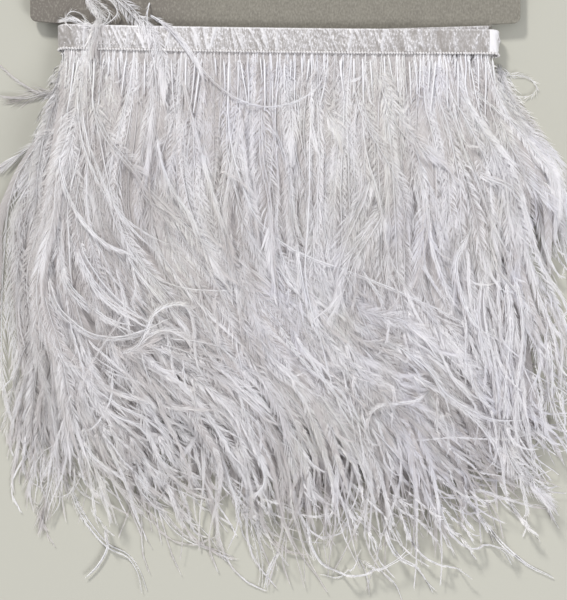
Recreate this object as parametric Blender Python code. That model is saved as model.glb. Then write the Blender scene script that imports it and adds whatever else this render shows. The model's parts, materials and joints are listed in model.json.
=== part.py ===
"""Ostrich feather fringe: plumes sewn into a satin tape, wound twice round a grey board card.

The card lies flat. X runs along the tape, the plumes hang towards -Y, and Z is up from the surface it lies on.
The origin is the middle of the tape, on the surface. Run it in Blender 4.5; lengths are in metres.
"""

import math
import random

import bmesh
import bpy
from mathutils import Vector

MM = 0.001
GAP = 0.3 * MM  # left between pieces that touch

# The satin tape, folded over the quill ends and wound round the card.
TAPE_WIDTH = 10.2 * MM
TAPE_THICK = 1.0 * MM
TAPE_FOLD_CHAMFER = 0.3 * MM
TAPE_HALF_RUN = 88.6 * MM  # from the middle to the outside of a turn
RUN_POINTS = 9
TURN_POINTS = 9
INNER_END_X = 84.2 * MM
OUTER_END_X = 80.0 * MM

# The sewn edge along the bottom of the tape.
STITCH_HEIGHT = 0.8 * MM
STITCH_THICK = 0.8 * MM

# The grey board card: a head with two ears, and a narrower waist inside the tape.
CARD_THICK = 2.0 * MM
CARD_TOP_Y = 52.0 * MM
CARD_LEFT_X = -99.8 * MM
CARD_RIGHT_X = 97.2 * MM
CARD_WAIST_BOTTOM_Y = -5.5 * MM
EAR_LEFT_Y = 7.9 * MM  # the ears' undersides rise outwards
EAR_RIGHT_Y = 7.2 * MM
SHOULDER_Y = 6.6 * MM
EAR_RADIUS = 2.4 * MM
WAIST_EASE = 0.1 * MM  # room inside the right-hand turn of tape
ARC_POINTS = 6

# Heights of the four runs of tape, from the surface up, with the card in the middle of them.
STEP = TAPE_THICK + GAP
REAR_Z = TAPE_THICK / 2
BACK_Z = REAR_Z + STEP
CARD_Z = BACK_Z + TAPE_THICK / 2 + GAP
INNER_Z = CARD_Z + CARD_THICK + GAP + TAPE_THICK / 2
FRONT_Z = INNER_Z + STEP

# How far each run sits above or below the middle line, at its left end, middle and right end.
FRONT_SWAY = (0.9 * MM, -0.3 * MM, -1.3 * MM)
INNER_SWAY = (-0.6 * MM, -1.8 * MM, 0.2 * MM)
BACK_SWAY = (-0.6 * MM, 0.0 * MM, -1.3 * MM)
REAR_SWAY = (0.9 * MM, 0.3 * MM, 0.0 * MM)

# The plumes: where they start and where they end.
SEAM_ALLOWANCE = 0.2 * MM  # keeps the plumes clear of the stitches where the tape sways
ROOT_DROP = TAPE_WIDTH / 2 + GAP + STITCH_HEIGHT + GAP + SEAM_ALLOWANCE
ROOT_HALF_SPAN = 86.0 * MM
PLUME_LENGTH = 207.0 * MM
LENGTH_RAGGED = 9.0 * MM
LEFT_SHORTER = 24.0 * MM  # at the left end of the tape
LEFT_SHORTER_SHARE = 0.28
RIGHT_SHORTER = 36.0 * MM
RIGHT_SHORTER_SHARE = 0.34
STATION_STEP = 17.0 * MM  # the same depths on every lock, so that neighbours bend alike

# A lock's section: its gap to the next one, the slope of its sides, and how it runs out to its tip.
SIDE_GAP = 0.45 * MM
BELLY = 0.22  # share of the width that the sloping sides take, each
TIP_SHARE = 0.3  # share of the length over which a lock runs out
TIP_FILL = 0.14  # share of its width left at the very tip
TIP_HEIGHT = 0.35  # share of its height that a vanishing lock would keep
WAIST = 0.45  # height of the widest line, as a share of the section's height
FLOOR_WAIST = 0.3  # the same where the lock lies on the surface
ON_FLOOR = 0.2 * MM

# The pile: how soon the layers reach their full height, where they thin, and how the sides sink.
LAYER_GAP = 0.8 * MM
FULL_HEIGHT_DEPTH = 55.0 * MM
THINS_FROM = 105.0 * MM
THINS_TO = 205.0 * MM
SIDE_SINK = 0.42  # how much lower the pile lies at its outer edges
SINK_DEPTH = 60.0 * MM
PILE_HALF_WIDTH = 120.0 * MM

# Thickness of each layer of plumes where the pile is full, and at the tips.
LAYER_THICK = {"rear": 3.6 * MM, "back": 3.2 * MM, "inner": 3.4 * MM, "front": 8.4 * MM}
TIP_THICK = {"rear": 1.5 * MM, "back": 1.4 * MM, "inner": 1.6 * MM, "front": 3.0 * MM}
LOCKS = {"rear": 11, "back": 9, "inner": 12, "front": 18}
RUN_Z = {"rear": REAR_Z, "back": BACK_Z, "inner": INNER_Z, "front": FRONT_Z}
RUN_SWAY = {"rear": REAR_SWAY, "back": BACK_SWAY, "inner": INNER_SWAY, "front": FRONT_SWAY}
ORDER = ("rear", "back", "inner", "front")

# How each layer fans out: its widening, and the depth at which that is reached.
SPREAD = {"rear": 0.34, "back": 0.26, "inner": 0.16, "front": 0.1}
FAN_DEPTH = {"rear": 78.0 * MM, "back": 84.0 * MM, "inner": 110.0 * MM, "front": 110.0 * MM}

# The plumes are combed over to the right, the front ones in full: how far, from which depth, and over
# what depth.
COMB_SHARE = {"rear": 0.25, "back": 0.4, "inner": 0.75, "front": 1.0}
COMB_LEFT = 8.0 * MM  # at the left end, where the plumes hang almost straight
COMB_RISE = 72.0 * MM  # added a little further in
COMB_RISE_SHARE = 0.1
COMB_FALL = 36.0 * MM  # taken off again towards the right
COMB_FALL_SHARES = (0.15, 0.8)
COMB_RIGHT_FALL = 14.0 * MM
COMB_START = 50.0 * MM
COMB_START_LEFT = 60.0 * MM  # later at the left end
COMB_START_SHARE = 0.09
COMB_START_MIDDLE = 32.0 * MM  # and later again past the middle
COMB_MIDDLE_SHARES = (0.1, 0.8)
COMB_DEPTH = 112.0 * MM
EDGE_SHARE = 0.8  # from here on the plumes also fly out at the right end
EDGE_FLY = 20.0 * MM
EDGE_FLY_DEPTH = 55.0 * MM
EDGE_BACK_DEPTHS = (90.0 * MM, 190.0 * MM)

SATIN_WHITE = (0.79, 0.76, 0.76)
THREAD_WHITE = (0.83, 0.81, 0.80)
BOARD_GREY = (0.29, 0.27, 0.23)
PLUME_WHITE = (0.80, 0.79, 0.82)


def clear_scene():
    for obj in list(bpy.data.objects):
        bpy.data.objects.remove(obj)


def make_material(name, colour, roughness):
    material = bpy.data.materials.new(name)
    material.use_nodes = True
    shader = material.node_tree.nodes["Principled BSDF"]
    shader.inputs["Base Color"].default_value = (*colour, 1.0)
    shader.inputs["Roughness"].default_value = roughness
    shader.inputs["Metallic"].default_value = 0.0
    return material


def add_object(name, mesh_builder, material):
    """An object of that name from a filled bmesh, with its faces pointing out."""
    bmesh.ops.recalc_face_normals(mesh_builder, faces=mesh_builder.faces)
    mesh = bpy.data.meshes.new(name)
    mesh_builder.to_mesh(mesh)
    mesh_builder.free()
    mesh.materials.append(material)
    obj = bpy.data.objects.new(name, mesh)
    bpy.context.scene.collection.objects.link(obj)
    return obj


def loft(name, sections, material):
    """A closed solid through a row of sections, each a ring of the same number of points."""
    builder = bmesh.new()
    rings = [[builder.verts.new(point) for point in section] for section in sections]
    count = len(rings[0])
    for ring, following in zip(rings, rings[1:]):
        for i in range(count):
            j = (i + 1) % count
            builder.faces.new((ring[i], ring[j], following[j], following[i]))
    builder.faces.new(rings[0])
    builder.faces.new(rings[-1])
    return add_object(name, builder, material)


def smooth(low, high, value):
    """0 below low, 1 above high, and an even S between them."""
    share = min(1.0, max(0.0, (value - low) / (high - low)))
    return share * share * (3.0 - 2.0 * share)


def along_run(sway, x):
    """How far a run of tape sits above the middle line at x: a parabola through its three values."""
    left, middle, right = sway
    share = x / TAPE_HALF_RUN
    return middle + share * (right - left) / 2 + share * share * ((right + left) / 2 - middle)


def straight_run(x_from, x_to, z, facing, sway):
    """Points of a straight run as (x, z, outward normal, sway)."""
    points = []
    for i in range(RUN_POINTS):
        x = x_from + (x_to - x_from) * i / (RUN_POINTS - 1)
        points.append((x, z, (0.0, facing), along_run(sway, x)))
    return points


def turn(centre_x, z_from, z_to, side, sway_from, sway_to):
    """A half turn round the card's edge, on the left (side -1) or on the right (side 1)."""
    radius = abs(z_to - z_from) / 2
    centre_z = (z_from + z_to) / 2
    rising = 1.0 if z_to > z_from else -1.0
    points = []
    for i in range(1, TURN_POINTS):
        angle = math.pi * (i / TURN_POINTS - 0.5) * rising
        normal = (side * math.cos(angle), math.sin(angle))
        sway = sway_from + (sway_to - sway_from) * i / TURN_POINTS
        points.append((centre_x + radius * normal[0], centre_z + radius * normal[1], normal, sway))
    return points


def tape_route():
    """The tape's centre line: in front, round the left edge, behind, round the right edge, and once more."""
    left_x = -(TAPE_HALF_RUN - (FRONT_Z - REAR_Z) / 2 - TAPE_THICK / 2)
    right_x = TAPE_HALF_RUN - (FRONT_Z - BACK_Z) / 2 - TAPE_THICK / 2
    route = straight_run(INNER_END_X, left_x, INNER_Z, 1.0, INNER_SWAY)
    route += turn(left_x, INNER_Z, BACK_Z, -1.0, INNER_SWAY[0], BACK_SWAY[0])
    route += straight_run(left_x, right_x, BACK_Z, -1.0, BACK_SWAY)
    route += turn(right_x, BACK_Z, FRONT_Z, 1.0, BACK_SWAY[2], FRONT_SWAY[2])
    route += straight_run(right_x, left_x, FRONT_Z, 1.0, FRONT_SWAY)
    route += turn(left_x, FRONT_Z, REAR_Z, -1.0, FRONT_SWAY[0], REAR_SWAY[0])
    route += straight_run(left_x, OUTER_END_X, REAR_Z, -1.0, REAR_SWAY)
    return route


def sections_along(route, outline):
    """The outline, given as (up the tape, out of the tape), set square to the route at each of its points."""
    sections = []
    for x, z, normal, sway in route:
        sections.append(
            [Vector((x + normal[0] * out, sway + up, z + normal[1] * out)) for up, out in outline]
        )
    return sections


def make_tape(material):
    """Folded satin ribbon: square at its sewn bottom edge, rounded at its folded top edge."""
    top = TAPE_WIDTH / 2
    face = TAPE_THICK / 2
    c = TAPE_FOLD_CHAMFER
    outline = [
        (-top, face),
        (-top, -face),
        (top - c, -face),
        (top, c - face),
        (top, face - c),
        (top - c, face),
    ]
    return loft("satin_tape", sections_along(tape_route(), outline), material)


def make_stitch(material):
    """The row of chain stitch that closes the tape's bottom edge, all along it."""
    top = -TAPE_WIDTH / 2 - GAP
    bottom = top - STITCH_HEIGHT
    face = STITCH_THICK / 2
    outline = [(bottom, face), (bottom, -face), (top, -face), (top, face)]
    return loft("chain_stitch", sections_along(tape_route(), outline), material)


def corner(centre_x, centre_y, from_degrees, radius=EAR_RADIUS):
    """A quarter circle of points, counter-clockwise from an angle."""
    points = []
    for i in range(ARC_POINTS + 1):
        angle = math.radians(from_degrees + 90.0 * i / ARC_POINTS)
        points.append((centre_x + radius * math.cos(angle), centre_y + radius * math.sin(angle)))
    return points


def make_card(material):
    """A board with a wide head, rounded ears, and a waist that the tape is wound on."""
    r = EAR_RADIUS
    waist_left = -(TAPE_HALF_RUN - (FRONT_Z - REAR_Z) / 2 - TAPE_THICK / 2)
    waist_right = TAPE_HALF_RUN - (FRONT_Z - BACK_Z) / 2 - TAPE_THICK / 2 - WAIST_EASE
    outline = [(waist_left, CARD_WAIST_BOTTOM_Y), (waist_right, CARD_WAIST_BOTTOM_Y)]
    outline.append((waist_right, SHOULDER_Y))
    outline += corner(CARD_RIGHT_X - r, EAR_RIGHT_Y + r, -90.0)
    outline += corner(CARD_RIGHT_X - r, CARD_TOP_Y - r, 0.0)
    outline += corner(CARD_LEFT_X + r, CARD_TOP_Y - r, 90.0)
    outline += corner(CARD_LEFT_X + r, EAR_LEFT_Y + r, 180.0)
    outline.append((waist_left, SHOULDER_Y))
    low = [Vector((x, y, CARD_Z)) for x, y in outline]
    high = [Vector((x, y, CARD_Z + CARD_THICK)) for x, y in outline]
    return loft("card", [low, high], material)


def combed(share, depth):
    """How far the front plumes are combed to the right at that share of the tape's length and depth."""
    reach = COMB_LEFT + COMB_RISE * smooth(0.0, COMB_RISE_SHARE, share)
    reach -= COMB_FALL * smooth(*COMB_FALL_SHARES, share)
    reach -= COMB_RIGHT_FALL * smooth(EDGE_SHARE, 1.0, share)
    start = COMB_START + COMB_START_LEFT * (1.0 - smooth(0.0, COMB_START_SHARE, share))
    start += COMB_START_MIDDLE * smooth(*COMB_MIDDLE_SHARES, share)
    fly = EDGE_FLY * smooth(EDGE_SHARE, 1.0, share) * smooth(0.0, EDGE_FLY_DEPTH, depth)
    fly *= 1.0 - smooth(*EDGE_BACK_DEPTHS, depth)
    return reach * smooth(start, start + COMB_DEPTH, depth) + fly


def plume_x(layer, share, depth):
    """Where a plume at that share of the tape's length lies, at a depth below its root."""
    root = (2.0 * share - 1.0) * ROOT_HALF_SPAN
    fanned = root * (1.0 + SPREAD[layer] * smooth(0.0, FAN_DEPTH[layer], depth))
    return fanned + COMB_SHARE[layer] * combed(share, depth)


def plume_length(share):
    """Plumes near the two ends of the tape end higher than those in its middle."""
    left = LEFT_SHORTER * (1.0 - smooth(0.0, LEFT_SHORTER_SHARE, share))
    right = RIGHT_SHORTER * smooth(1.0 - RIGHT_SHORTER_SHARE, 1.0, share)
    return PLUME_LENGTH - left - right


def layer_heights(depth):
    """Each layer's underside and top at a depth below the tape, before the pile sinks at its sides."""
    full = smooth(0.0, FULL_HEIGHT_DEPTH, depth)
    ending = smooth(THINS_FROM, THINS_TO, depth)
    heights = {}
    floor = 0.0
    for layer in ORDER:
        thick = LAYER_THICK[layer] * (1.0 - ending) + TIP_THICK[layer] * ending
        root_low = RUN_Z[layer] - STITCH_THICK / 2
        low = root_low * (1.0 - full) + floor * full
        high = (root_low + STITCH_THICK) * (1.0 - full) + (floor + thick) * full
        heights[layer] = (low, high)
        floor += thick + LAYER_GAP
    return heights


def sink(x, depth):
    """The share of its full height that the pile keeps at a place."""
    outward = min(1.0, abs(x) / PILE_HALF_WIDTH)
    return 1.0 - SIDE_SINK * outward**3 * smooth(0.0, SINK_DEPTH, depth)


def station_depths(length):
    """The depths at which a lock of that length has a section, the last one at its tip."""
    count = int(length / STATION_STEP + 0.6)
    return [STATION_STEP * i for i in range(count)] + [length]


def lock_section(layer, left_share, right_share, root_y, depth, fill):
    """Six points round a lock at one depth. fill is the share of its width that it still has."""
    middle = (left_share + right_share) / 2
    left = plume_x(layer, left_share, depth) + SIDE_GAP / 2
    right = plume_x(layer, right_share, depth) - SIDE_GAP / 2
    centre = plume_x(layer, middle, depth)
    left = centre + (left - centre) * fill
    right = centre + (right - centre) * fill
    low, high = layer_heights(depth)[layer]
    belly = BELLY * (right - left)
    thin = TIP_HEIGHT + (1.0 - TIP_HEIGHT) * math.sqrt(fill)
    waist = low + (high - low) * (WAIST if low > ON_FLOOR else FLOOR_WAIST) * thin
    top = low + (high - low) * thin
    y = root_y - depth
    ring = [(left, waist), (left + belly, low), (right - belly, low)]
    ring += [(right, waist), (right - belly, top), (left + belly, top)]
    return [Vector((x, y, z * sink(x, depth))) for x, z in ring]


def make_locks(layer, material, dice):
    """The layer's plumes as locks side by side, each running out to a tip of its own."""
    count = LOCKS[layer]
    for number in range(count):
        left_share, right_share = number / count, (number + 1) / count
        middle = (left_share + right_share) / 2
        root_x = plume_x(layer, middle, 0.0)
        root_y = along_run(RUN_SWAY[layer], root_x) - ROOT_DROP
        length = plume_length(middle) + dice.uniform(-1.0, 1.0) * LENGTH_RAGGED
        sections = []
        for depth in station_depths(length):
            fill = 1.0 - (1.0 - TIP_FILL) * smooth(1.0 - TIP_SHARE, 1.0, depth / length)
            sections.append(lock_section(layer, left_share, right_share, root_y, depth, fill))
        loft(f"{layer}_plume_{number + 1:02d}", sections, material)


def main():
    clear_scene()
    dice = random.Random(7)
    make_card(make_material("grey_board", BOARD_GREY, 0.9))
    make_tape(make_material("white_satin", SATIN_WHITE, 0.4))
    make_stitch(make_material("white_thread", THREAD_WHITE, 0.7))
    plume = make_material("ostrich_plume", PLUME_WHITE, 0.7)
    for layer in ORDER:
        make_locks(layer, plume, dice)


main()
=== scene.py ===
# Ostrich feather fringe wound on its card: the looks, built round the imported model.
# Lengths are in metres. X runs along the tape, the plumes hang towards -Y, Z is up.
import json
import math

import bpy
import numpy as np
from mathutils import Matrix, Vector
from mathutils.bvhtree import BVHTree

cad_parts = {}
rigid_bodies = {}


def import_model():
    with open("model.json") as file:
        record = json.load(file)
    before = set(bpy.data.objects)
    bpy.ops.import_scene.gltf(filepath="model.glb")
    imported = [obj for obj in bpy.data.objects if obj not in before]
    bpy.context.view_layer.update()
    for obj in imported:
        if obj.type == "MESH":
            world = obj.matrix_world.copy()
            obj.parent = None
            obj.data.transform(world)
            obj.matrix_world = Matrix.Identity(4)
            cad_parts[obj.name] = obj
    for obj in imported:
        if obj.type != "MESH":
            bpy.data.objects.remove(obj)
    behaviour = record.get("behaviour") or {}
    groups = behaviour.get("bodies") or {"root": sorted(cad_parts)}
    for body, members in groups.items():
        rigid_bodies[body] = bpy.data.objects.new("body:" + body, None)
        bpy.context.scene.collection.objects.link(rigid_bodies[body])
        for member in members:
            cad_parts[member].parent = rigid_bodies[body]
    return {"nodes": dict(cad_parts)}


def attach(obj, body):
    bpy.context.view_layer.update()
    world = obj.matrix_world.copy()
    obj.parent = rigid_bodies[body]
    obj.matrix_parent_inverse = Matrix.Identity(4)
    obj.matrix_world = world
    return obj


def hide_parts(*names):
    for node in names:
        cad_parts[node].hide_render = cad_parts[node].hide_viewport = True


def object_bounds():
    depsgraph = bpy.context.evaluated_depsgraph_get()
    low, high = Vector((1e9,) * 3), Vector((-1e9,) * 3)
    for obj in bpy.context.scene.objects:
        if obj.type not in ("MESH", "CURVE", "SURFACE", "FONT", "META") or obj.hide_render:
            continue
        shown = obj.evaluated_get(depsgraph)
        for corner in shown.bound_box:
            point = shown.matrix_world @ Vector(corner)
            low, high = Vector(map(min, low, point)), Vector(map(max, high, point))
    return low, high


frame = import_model()
cadLow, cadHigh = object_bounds()
mm = 0.001
upward = np.array([0.0, 0.0, 1.0])

# how the photograph maps to the tape's plane: one pixel there is 0.4 mm
photo = {"width": 567, "height": 600, "middleX": 278.5, "middleY": 39.5, "pixel": 0.4 * mm}

# a number for each kind of random draw, so that every run gives the same fringe
seeds = {
    "plumes": 11,
    "tape": 23,
    "stitches": 31,
    "byHand": 47,
    "frayedEnd": 59,
    "underTape": 61,
    "sweeps": 83,
    "curls": 97,
}


def fromPhoto(px, py):
    return (px - photo["middleX"]) * photo["pixel"], -(py - photo["middleY"]) * photo["pixel"]


def deselectAll():
    for obj in bpy.context.view_layer.objects:
        obj.select_set(False)


def makeActive(obj):
    deselectAll()
    obj.select_set(True)
    bpy.context.view_layer.objects.active = obj


def applyModifier(obj, kind, **settings):
    makeActive(obj)
    modifier = obj.modifiers.new(kind.title(), kind)
    for key, value in settings.items():
        setattr(modifier, key, value)
    bpy.ops.object.modifier_apply(modifier=modifier.name)


def turnFacesOut():
    # on everything selected in edit mode
    bpy.ops.mesh.select_all(action="SELECT")
    bpy.ops.mesh.normals_make_consistent(inside=False)
    bpy.ops.object.mode_set(mode="OBJECT")


def linkNew(name, data):
    obj = bpy.data.objects.new(name, data)
    bpy.context.scene.collection.objects.link(obj)
    return obj


def readPoints(mesh):
    points = np.empty(len(mesh.vertices) * 3, dtype=np.float32)
    mesh.vertices.foreach_get("co", points)
    return points.reshape(-1, 3).astype(float)


def writePoints(mesh, points):
    mesh.vertices.foreach_set("co", np.ascontiguousarray(points, dtype=np.float32).ravel())
    mesh.update()


def unit(vectors):
    return vectors / np.maximum(np.linalg.norm(vectors, axis=-1, keepdims=True), 1e-12)


def ease(low, high, value):
    t = np.clip((value - low) / (high - low), 0.0, 1.0)
    return t * t * (3 - 2 * t)


def turnBack(values, limit, side, within=14 * mm):
    # eases values that near a limit so that none passes it
    over = (values - limit) * side + within
    return np.where(over > 0, limit + side * (within * np.tanh(over / within) - within), values)


def lengthsAlong(path):
    return np.concatenate([[0.0], np.cumsum(np.linalg.norm(np.diff(path, axis=0), axis=1))])


def readAlong(table, places, at):
    # every column of a table, read between its rows
    return np.column_stack([np.interp(at, places, table[:, c]) for c in range(table.shape[1])])


def directions(path):
    # the way that a path runs at each of its points, and its level side there
    tangent = unit(np.gradient(path, axis=0))
    return tangent, unit(np.cross(tangent, upward))


def smoothBetween(rows, at, fine):
    # a smooth curve through every column of rows, which stand at the places in at
    slopes = np.stack([np.gradient(rows[:, c], at) for c in range(rows.shape[1])], axis=1)
    index = np.clip(np.searchsorted(at, fine, side="right") - 1, 0, len(at) - 2)
    width = (at[index + 1] - at[index])[:, None]
    t = (fine - at[index])[:, None] / width
    return (
        (2 * t**3 - 3 * t**2 + 1) * rows[index]
        + (t**3 - 2 * t**2 + t) * width * slopes[index]
        + (3 * t**2 - 2 * t**3) * rows[index + 1]
        + (t**3 - t**2) * width * slopes[index + 1]
    )


def splineThrough(points, count):
    # a smooth curve through given points, in even steps
    points = np.asarray(points, dtype=float)
    at = lengthsAlong(points)
    curve = smoothBetween(points, at, np.linspace(0.0, at[-1], count * 6))
    along = lengthsAlong(curve)
    return readAlong(curve, along, np.linspace(0.0, along[-1], count))


def joinParts(parts):
    # each part has its points, its faces and then one value per point for each attribute
    starts = np.cumsum([0] + [len(part[0]) for part in parts[:-1]])
    faces = np.concatenate([part[1] + start for part, start in zip(parts, starts)])
    verts, *values = (np.concatenate([part[c] for part in parts]) for c in range(len(parts[0])) if c != 1)
    return verts, faces, *values


def meshFromArrays(name, verts, faces, attributes, material):
    mesh = bpy.data.meshes.new(name)
    mesh.vertices.add(len(verts))
    mesh.vertices.foreach_set("co", verts.astype(np.float32).ravel())
    mesh.loops.add(len(faces) * 3)
    mesh.loops.foreach_set("vertex_index", faces.astype(np.int32).ravel())
    mesh.polygons.add(len(faces))
    mesh.polygons.foreach_set("loop_start", np.arange(len(faces), dtype=np.int32) * 3)
    mesh.update(calc_edges=True)
    for label, values in attributes.items():
        kind, field = ("FLOAT", "value") if values.ndim == 1 else ("FLOAT_VECTOR", "vector")
        layer = mesh.attributes.new(label, kind, "POINT")
        layer.data.foreach_set(field, values.astype(np.float32).ravel())
    mesh.materials.append(material)
    return linkNew(name, mesh)


def finishPiece(piece, slot, *nodes):
    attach(piece, "root")
    if nodes:
        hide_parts(*nodes)


# materials


def newMaterial(name, colour, roughness, specular):
    material = bpy.data.materials.new(name)
    material.use_nodes = True
    tree = material.node_tree
    shader = tree.nodes["Principled BSDF"]
    shader.inputs["Base Color"].default_value = (*colour, 1.0)
    shader.inputs["Roughness"].default_value = roughness
    shader.inputs["Specular IOR Level"].default_value = specular
    return material, tree, shader


def addNode(tree, kind, inputs=None, **settings):
    node = tree.nodes.new(kind)
    for key, value in settings.items():
        setattr(node, key, value)
    for key, value in (inputs or {}).items():
        feed(tree, node.inputs[key], value)
    return node


def feed(tree, socket, value):
    # value is a socket, a number, a vector or a colour
    if isinstance(value, bpy.types.NodeSocket):
        tree.links.new(value, socket)
    elif socket.type == "RGBA":
        socket.default_value = (*value, 1.0)
    else:
        socket.default_value = value


def mixColours(tree, factor, first, second):
    mix = addNode(tree, "ShaderNodeMix", {"Factor": factor}, data_type="RGBA")
    feed(tree, mix.inputs[6], first)
    feed(tree, mix.inputs[7], second)
    return mix.outputs[2]


def calculate(tree, operation, *values):
    node = addNode(tree, "ShaderNodeMath", dict(enumerate(values)), operation=operation)
    return node.outputs["Value"]


def remap(tree, value, fromLow, fromHigh, low=0.0, high=1.0):
    limits = {"From Min": fromLow, "From Max": fromHigh, "To Min": low, "To Max": high}
    return addNode(tree, "ShaderNodeMapRange", {"Value": value, **limits}).outputs["Result"]


def attributeOf(tree, name, output="Fac"):
    return addNode(tree, "ShaderNodeAttribute", attribute_name=name).outputs[output]


def placeAlong(tree, direction):
    # how far a point lies along a direction, in object coordinates
    where = addNode(tree, "ShaderNodeTexCoord").outputs["Object"]
    dot = addNode(tree, "ShaderNodeVectorMath", {0: where, 1: direction}, operation="DOT_PRODUCT")
    return dot.outputs["Value"]


def noiseAt(tree, place, scale, stretch=(1, 1, 1), detail=3.0, roughness=0.5, turn=0.0):
    turned = {"Vector": place, "Scale": stretch, "Rotation": (0, 0, turn)}
    where = addNode(tree, "ShaderNodeMapping", turned).outputs["Vector"]
    settings = {"Vector": where, "Scale": scale, "Detail": detail, "Roughness": roughness}
    return addNode(tree, "ShaderNodeTexNoise", settings).outputs["Fac"]


def objectNoise(tree, scale, stretch=(1, 1, 1), detail=3.0):
    return noiseAt(tree, addNode(tree, "ShaderNodeTexCoord").outputs["Object"], scale, stretch, detail)


def addBump(tree, shader, height, strength, distance):
    bump = addNode(tree, "ShaderNodeBump", {"Height": height, "Strength": strength, "Distance": distance})
    feed(tree, shader.inputs["Normal"], bump.outputs["Normal"])


# the plumes: each lock hangs from a few quills, and each quill carries a bundle of flues

plumeLook = {
    # wide soft strips under the flues of a lock, how deep they lie in it and where they end
    "veilsPerLock": {"front": 10, "inner": 10, "back": 6, "rear": 4},
    "veilsBetween": {"front": (0.1, 0.5), "inner": (0.2, 0.8), "back": (0.2, 0.8), "rear": (0.2, 0.8)},
    "veilsEnd": {"front": (0.65, 0.88), "inner": (0.72, 0.95), "back": (0.7, 0.92), "rear": (0.65, 0.88)},
    "veilsEndAtRight": (0.38, 0.52),
    "veilHalfWidth": (1.6 * mm, 3.2 * mm),
    "veilWander": (2, 8),  # degrees
    "veilBias": (0, 2),
    # painted light and shade on the strips: darker on the whole for the shade under the flues, lighter the
    # higher they lie in the pile, darker towards the left and near the tape
    "veilToneAndShade": (-1.6, 0.9),
    "veilPaintedLightOnTop": 1.4,
    "veilPaintedShadeLeft": 0.8,
    "veilPaintedShadeByTape": 1.8,
    "byTape": (4 * mm, 26 * mm),  # how far down that goes
    # the strip under each bundle of flues
    "underHalfWidth": (1.1 * mm, 2.2 * mm),
    # the strips under the bundles are darker on the whole: painted shade beneath the flues, with a spread of
    # tone
    "underToneAndShade": (-1.3, 0.6),
    "underEnd": (0.84, 0.96),
    "underDeeper": 0.7 * mm,
    "underInside": 4 * mm,  # how far it stays inside the outermost tips
    # the quills and their bundles of flues
    "quillsPerLock": 4,
    "fluesPerQuill": {"front": 4, "inner": 2, "back": 2, "rear": 2},
    "lateFlues": {"front": 1, "inner": 0, "back": 0, "rear": 0},  # bare for their upper part
    "fanShare": {"front": 0.2, "inner": 0.1, "back": 0.1, "rear": 0.1},
    "strandShare": {"front": 0.09, "inner": 0.06, "back": 0.06, "rear": 0.06},
    "fillWideLocks": 0.5,
    "widen": 1.35,  # how far the quills spread past their lock's width
    "widenVeils": 1.45,
    "widenOutermost": 0.8,
    "widenOutermostVeils": 0.75,
    "quillReach": (0.9, 1.04),  # shares of the lock's length
    "shorterNearEnd": (0.45, 0.85),
    "quillWander": (6.0, 24.0),  # degrees
    "quillBias": (0.0, 7.0),
    "bundleTone": (-0.2, 0.9),
    # painted light: bundles that lie higher in the pile are lighter, and the outermost locks are lifted out
    # of the shade of the others
    "bundlePaintedLightOnTop": 2.4,
    "outermostPaintedLight": {"first": 1.8, "last": 0.6},
    "looser": {"front": 1.0, "inner": 0.6, "back": 0.7, "rear": 0.9},
    "lieBetween": {"front": (0.3, 0.74), "inner": (0.25, 1.0), "back": (0.25, 1.0), "rear": (0.25, 1.0)},
    "shorterAtRight": (0.28, 0.14),
    "shorterAtRightInFront": (0.17, 0.05),
    "openSpacing": {"front": 0.53, "inner": 0.66, "back": 0.95, "rear": 1.05},  # mm between barbules
    "closedSpacing": {"front": 0.5, "inner": 0.6, "back": 0.85, "rear": 1.0},
    "coarser": {"front": 1.0, "inner": 1.1, "back": 1.5, "rear": 1.6},
    "longer": {"front": 1.0, "inner": 1.15, "back": 1.2, "rear": 1.2},
    "hiddenShare": {"front": 0.0, "inner": 0.3, "back": 0.0, "rear": 0.0},  # without barbules
    "gather": 0.7,  # how far the barbules of a tuft run together at their tips
    "tuftAngle": 0.14,  # spreads from tuft to tuft
    "tuftLift": 0.12,
    "tuftTone": 1.4,
    "tuftLength": (0.78, 1.1),
    "stemPoints": 28,
    "stemRadius": (0.32 * mm, 0.22 * mm, 0.1 * mm),  # at the quill, below it and at the tip
    "barbuleLength": (6.0 * mm, 8.0 * mm),  # standing open, lying closed
    "barbuleHalfWidth": (0.125 * mm, 0.112 * mm),
    "bundleHalfWidth": 3.8 * mm,
    "tipFrom": 0.7,  # from here on barbules crowd, shorten and take a painted shade, by the shares below
    "tipCrowded": 0.3,
    "tipShorter": 0.58,
    "tipNarrower": 0.2,
    "tipPaintedShade": 3.0,
    "tipStemPaintedShade": 1.5,
    "reachLeft": (-127 * mm, -112 * mm),
    "reachRight": (114 * mm, 126 * mm),
    "reachDown": (-236 * mm, -226 * mm),
    "floorClear": 0.2 * mm,
    "quillInTape": 3.6 * mm,
    "tipsHook": (31.0, 22.0),  # degrees to the right: mean and spread from bundle to bundle
    "tipsTurn": (20.0, 28.0),  # the same for the last fifth alone
    "whiteWarm": (0.893, 0.885, 0.885),
    "whiteCool": (0.886, 0.888, 0.96),
    "whiteYellow": (0.90, 0.895, 0.84),
    # grey for darker flues and painted shade in the hollows; painted shade in the gaps between barbules and
    # at the strips' edges; white for whiter flues, the stems and painted highlights
    "greyAndPaintedShade": (0.69, 0.66, 0.65),
    "under": (0.50, 0.467, 0.462),
    "whiteAndPaintedHighlight": (0.985, 0.98, 1.0),
    "throughLight": (0.965, 0.945, 0.94),
}
layerOrder = ("rear", "back", "inner", "front")


def lockRings(node):
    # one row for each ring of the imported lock: depth line, left, right, underside, top
    points = readPoints(node.data)
    points = points[np.argsort(-points[:, 1])]
    cuts = np.where(np.diff(-points[:, 1]) > 1.0 * mm)[0] + 1
    rows = []
    for ring in np.split(points, cuts):
        x, y, z = ring.T
        rows.append((y.mean(), x.min(), x.max(), z.min(), z.max()))
    return np.array(rows)


def smoothRings(rows, count=60):
    depths = -rows[:, 0]
    return smoothBetween(rows, depths, np.linspace(depths[0], depths[-1], count))


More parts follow.
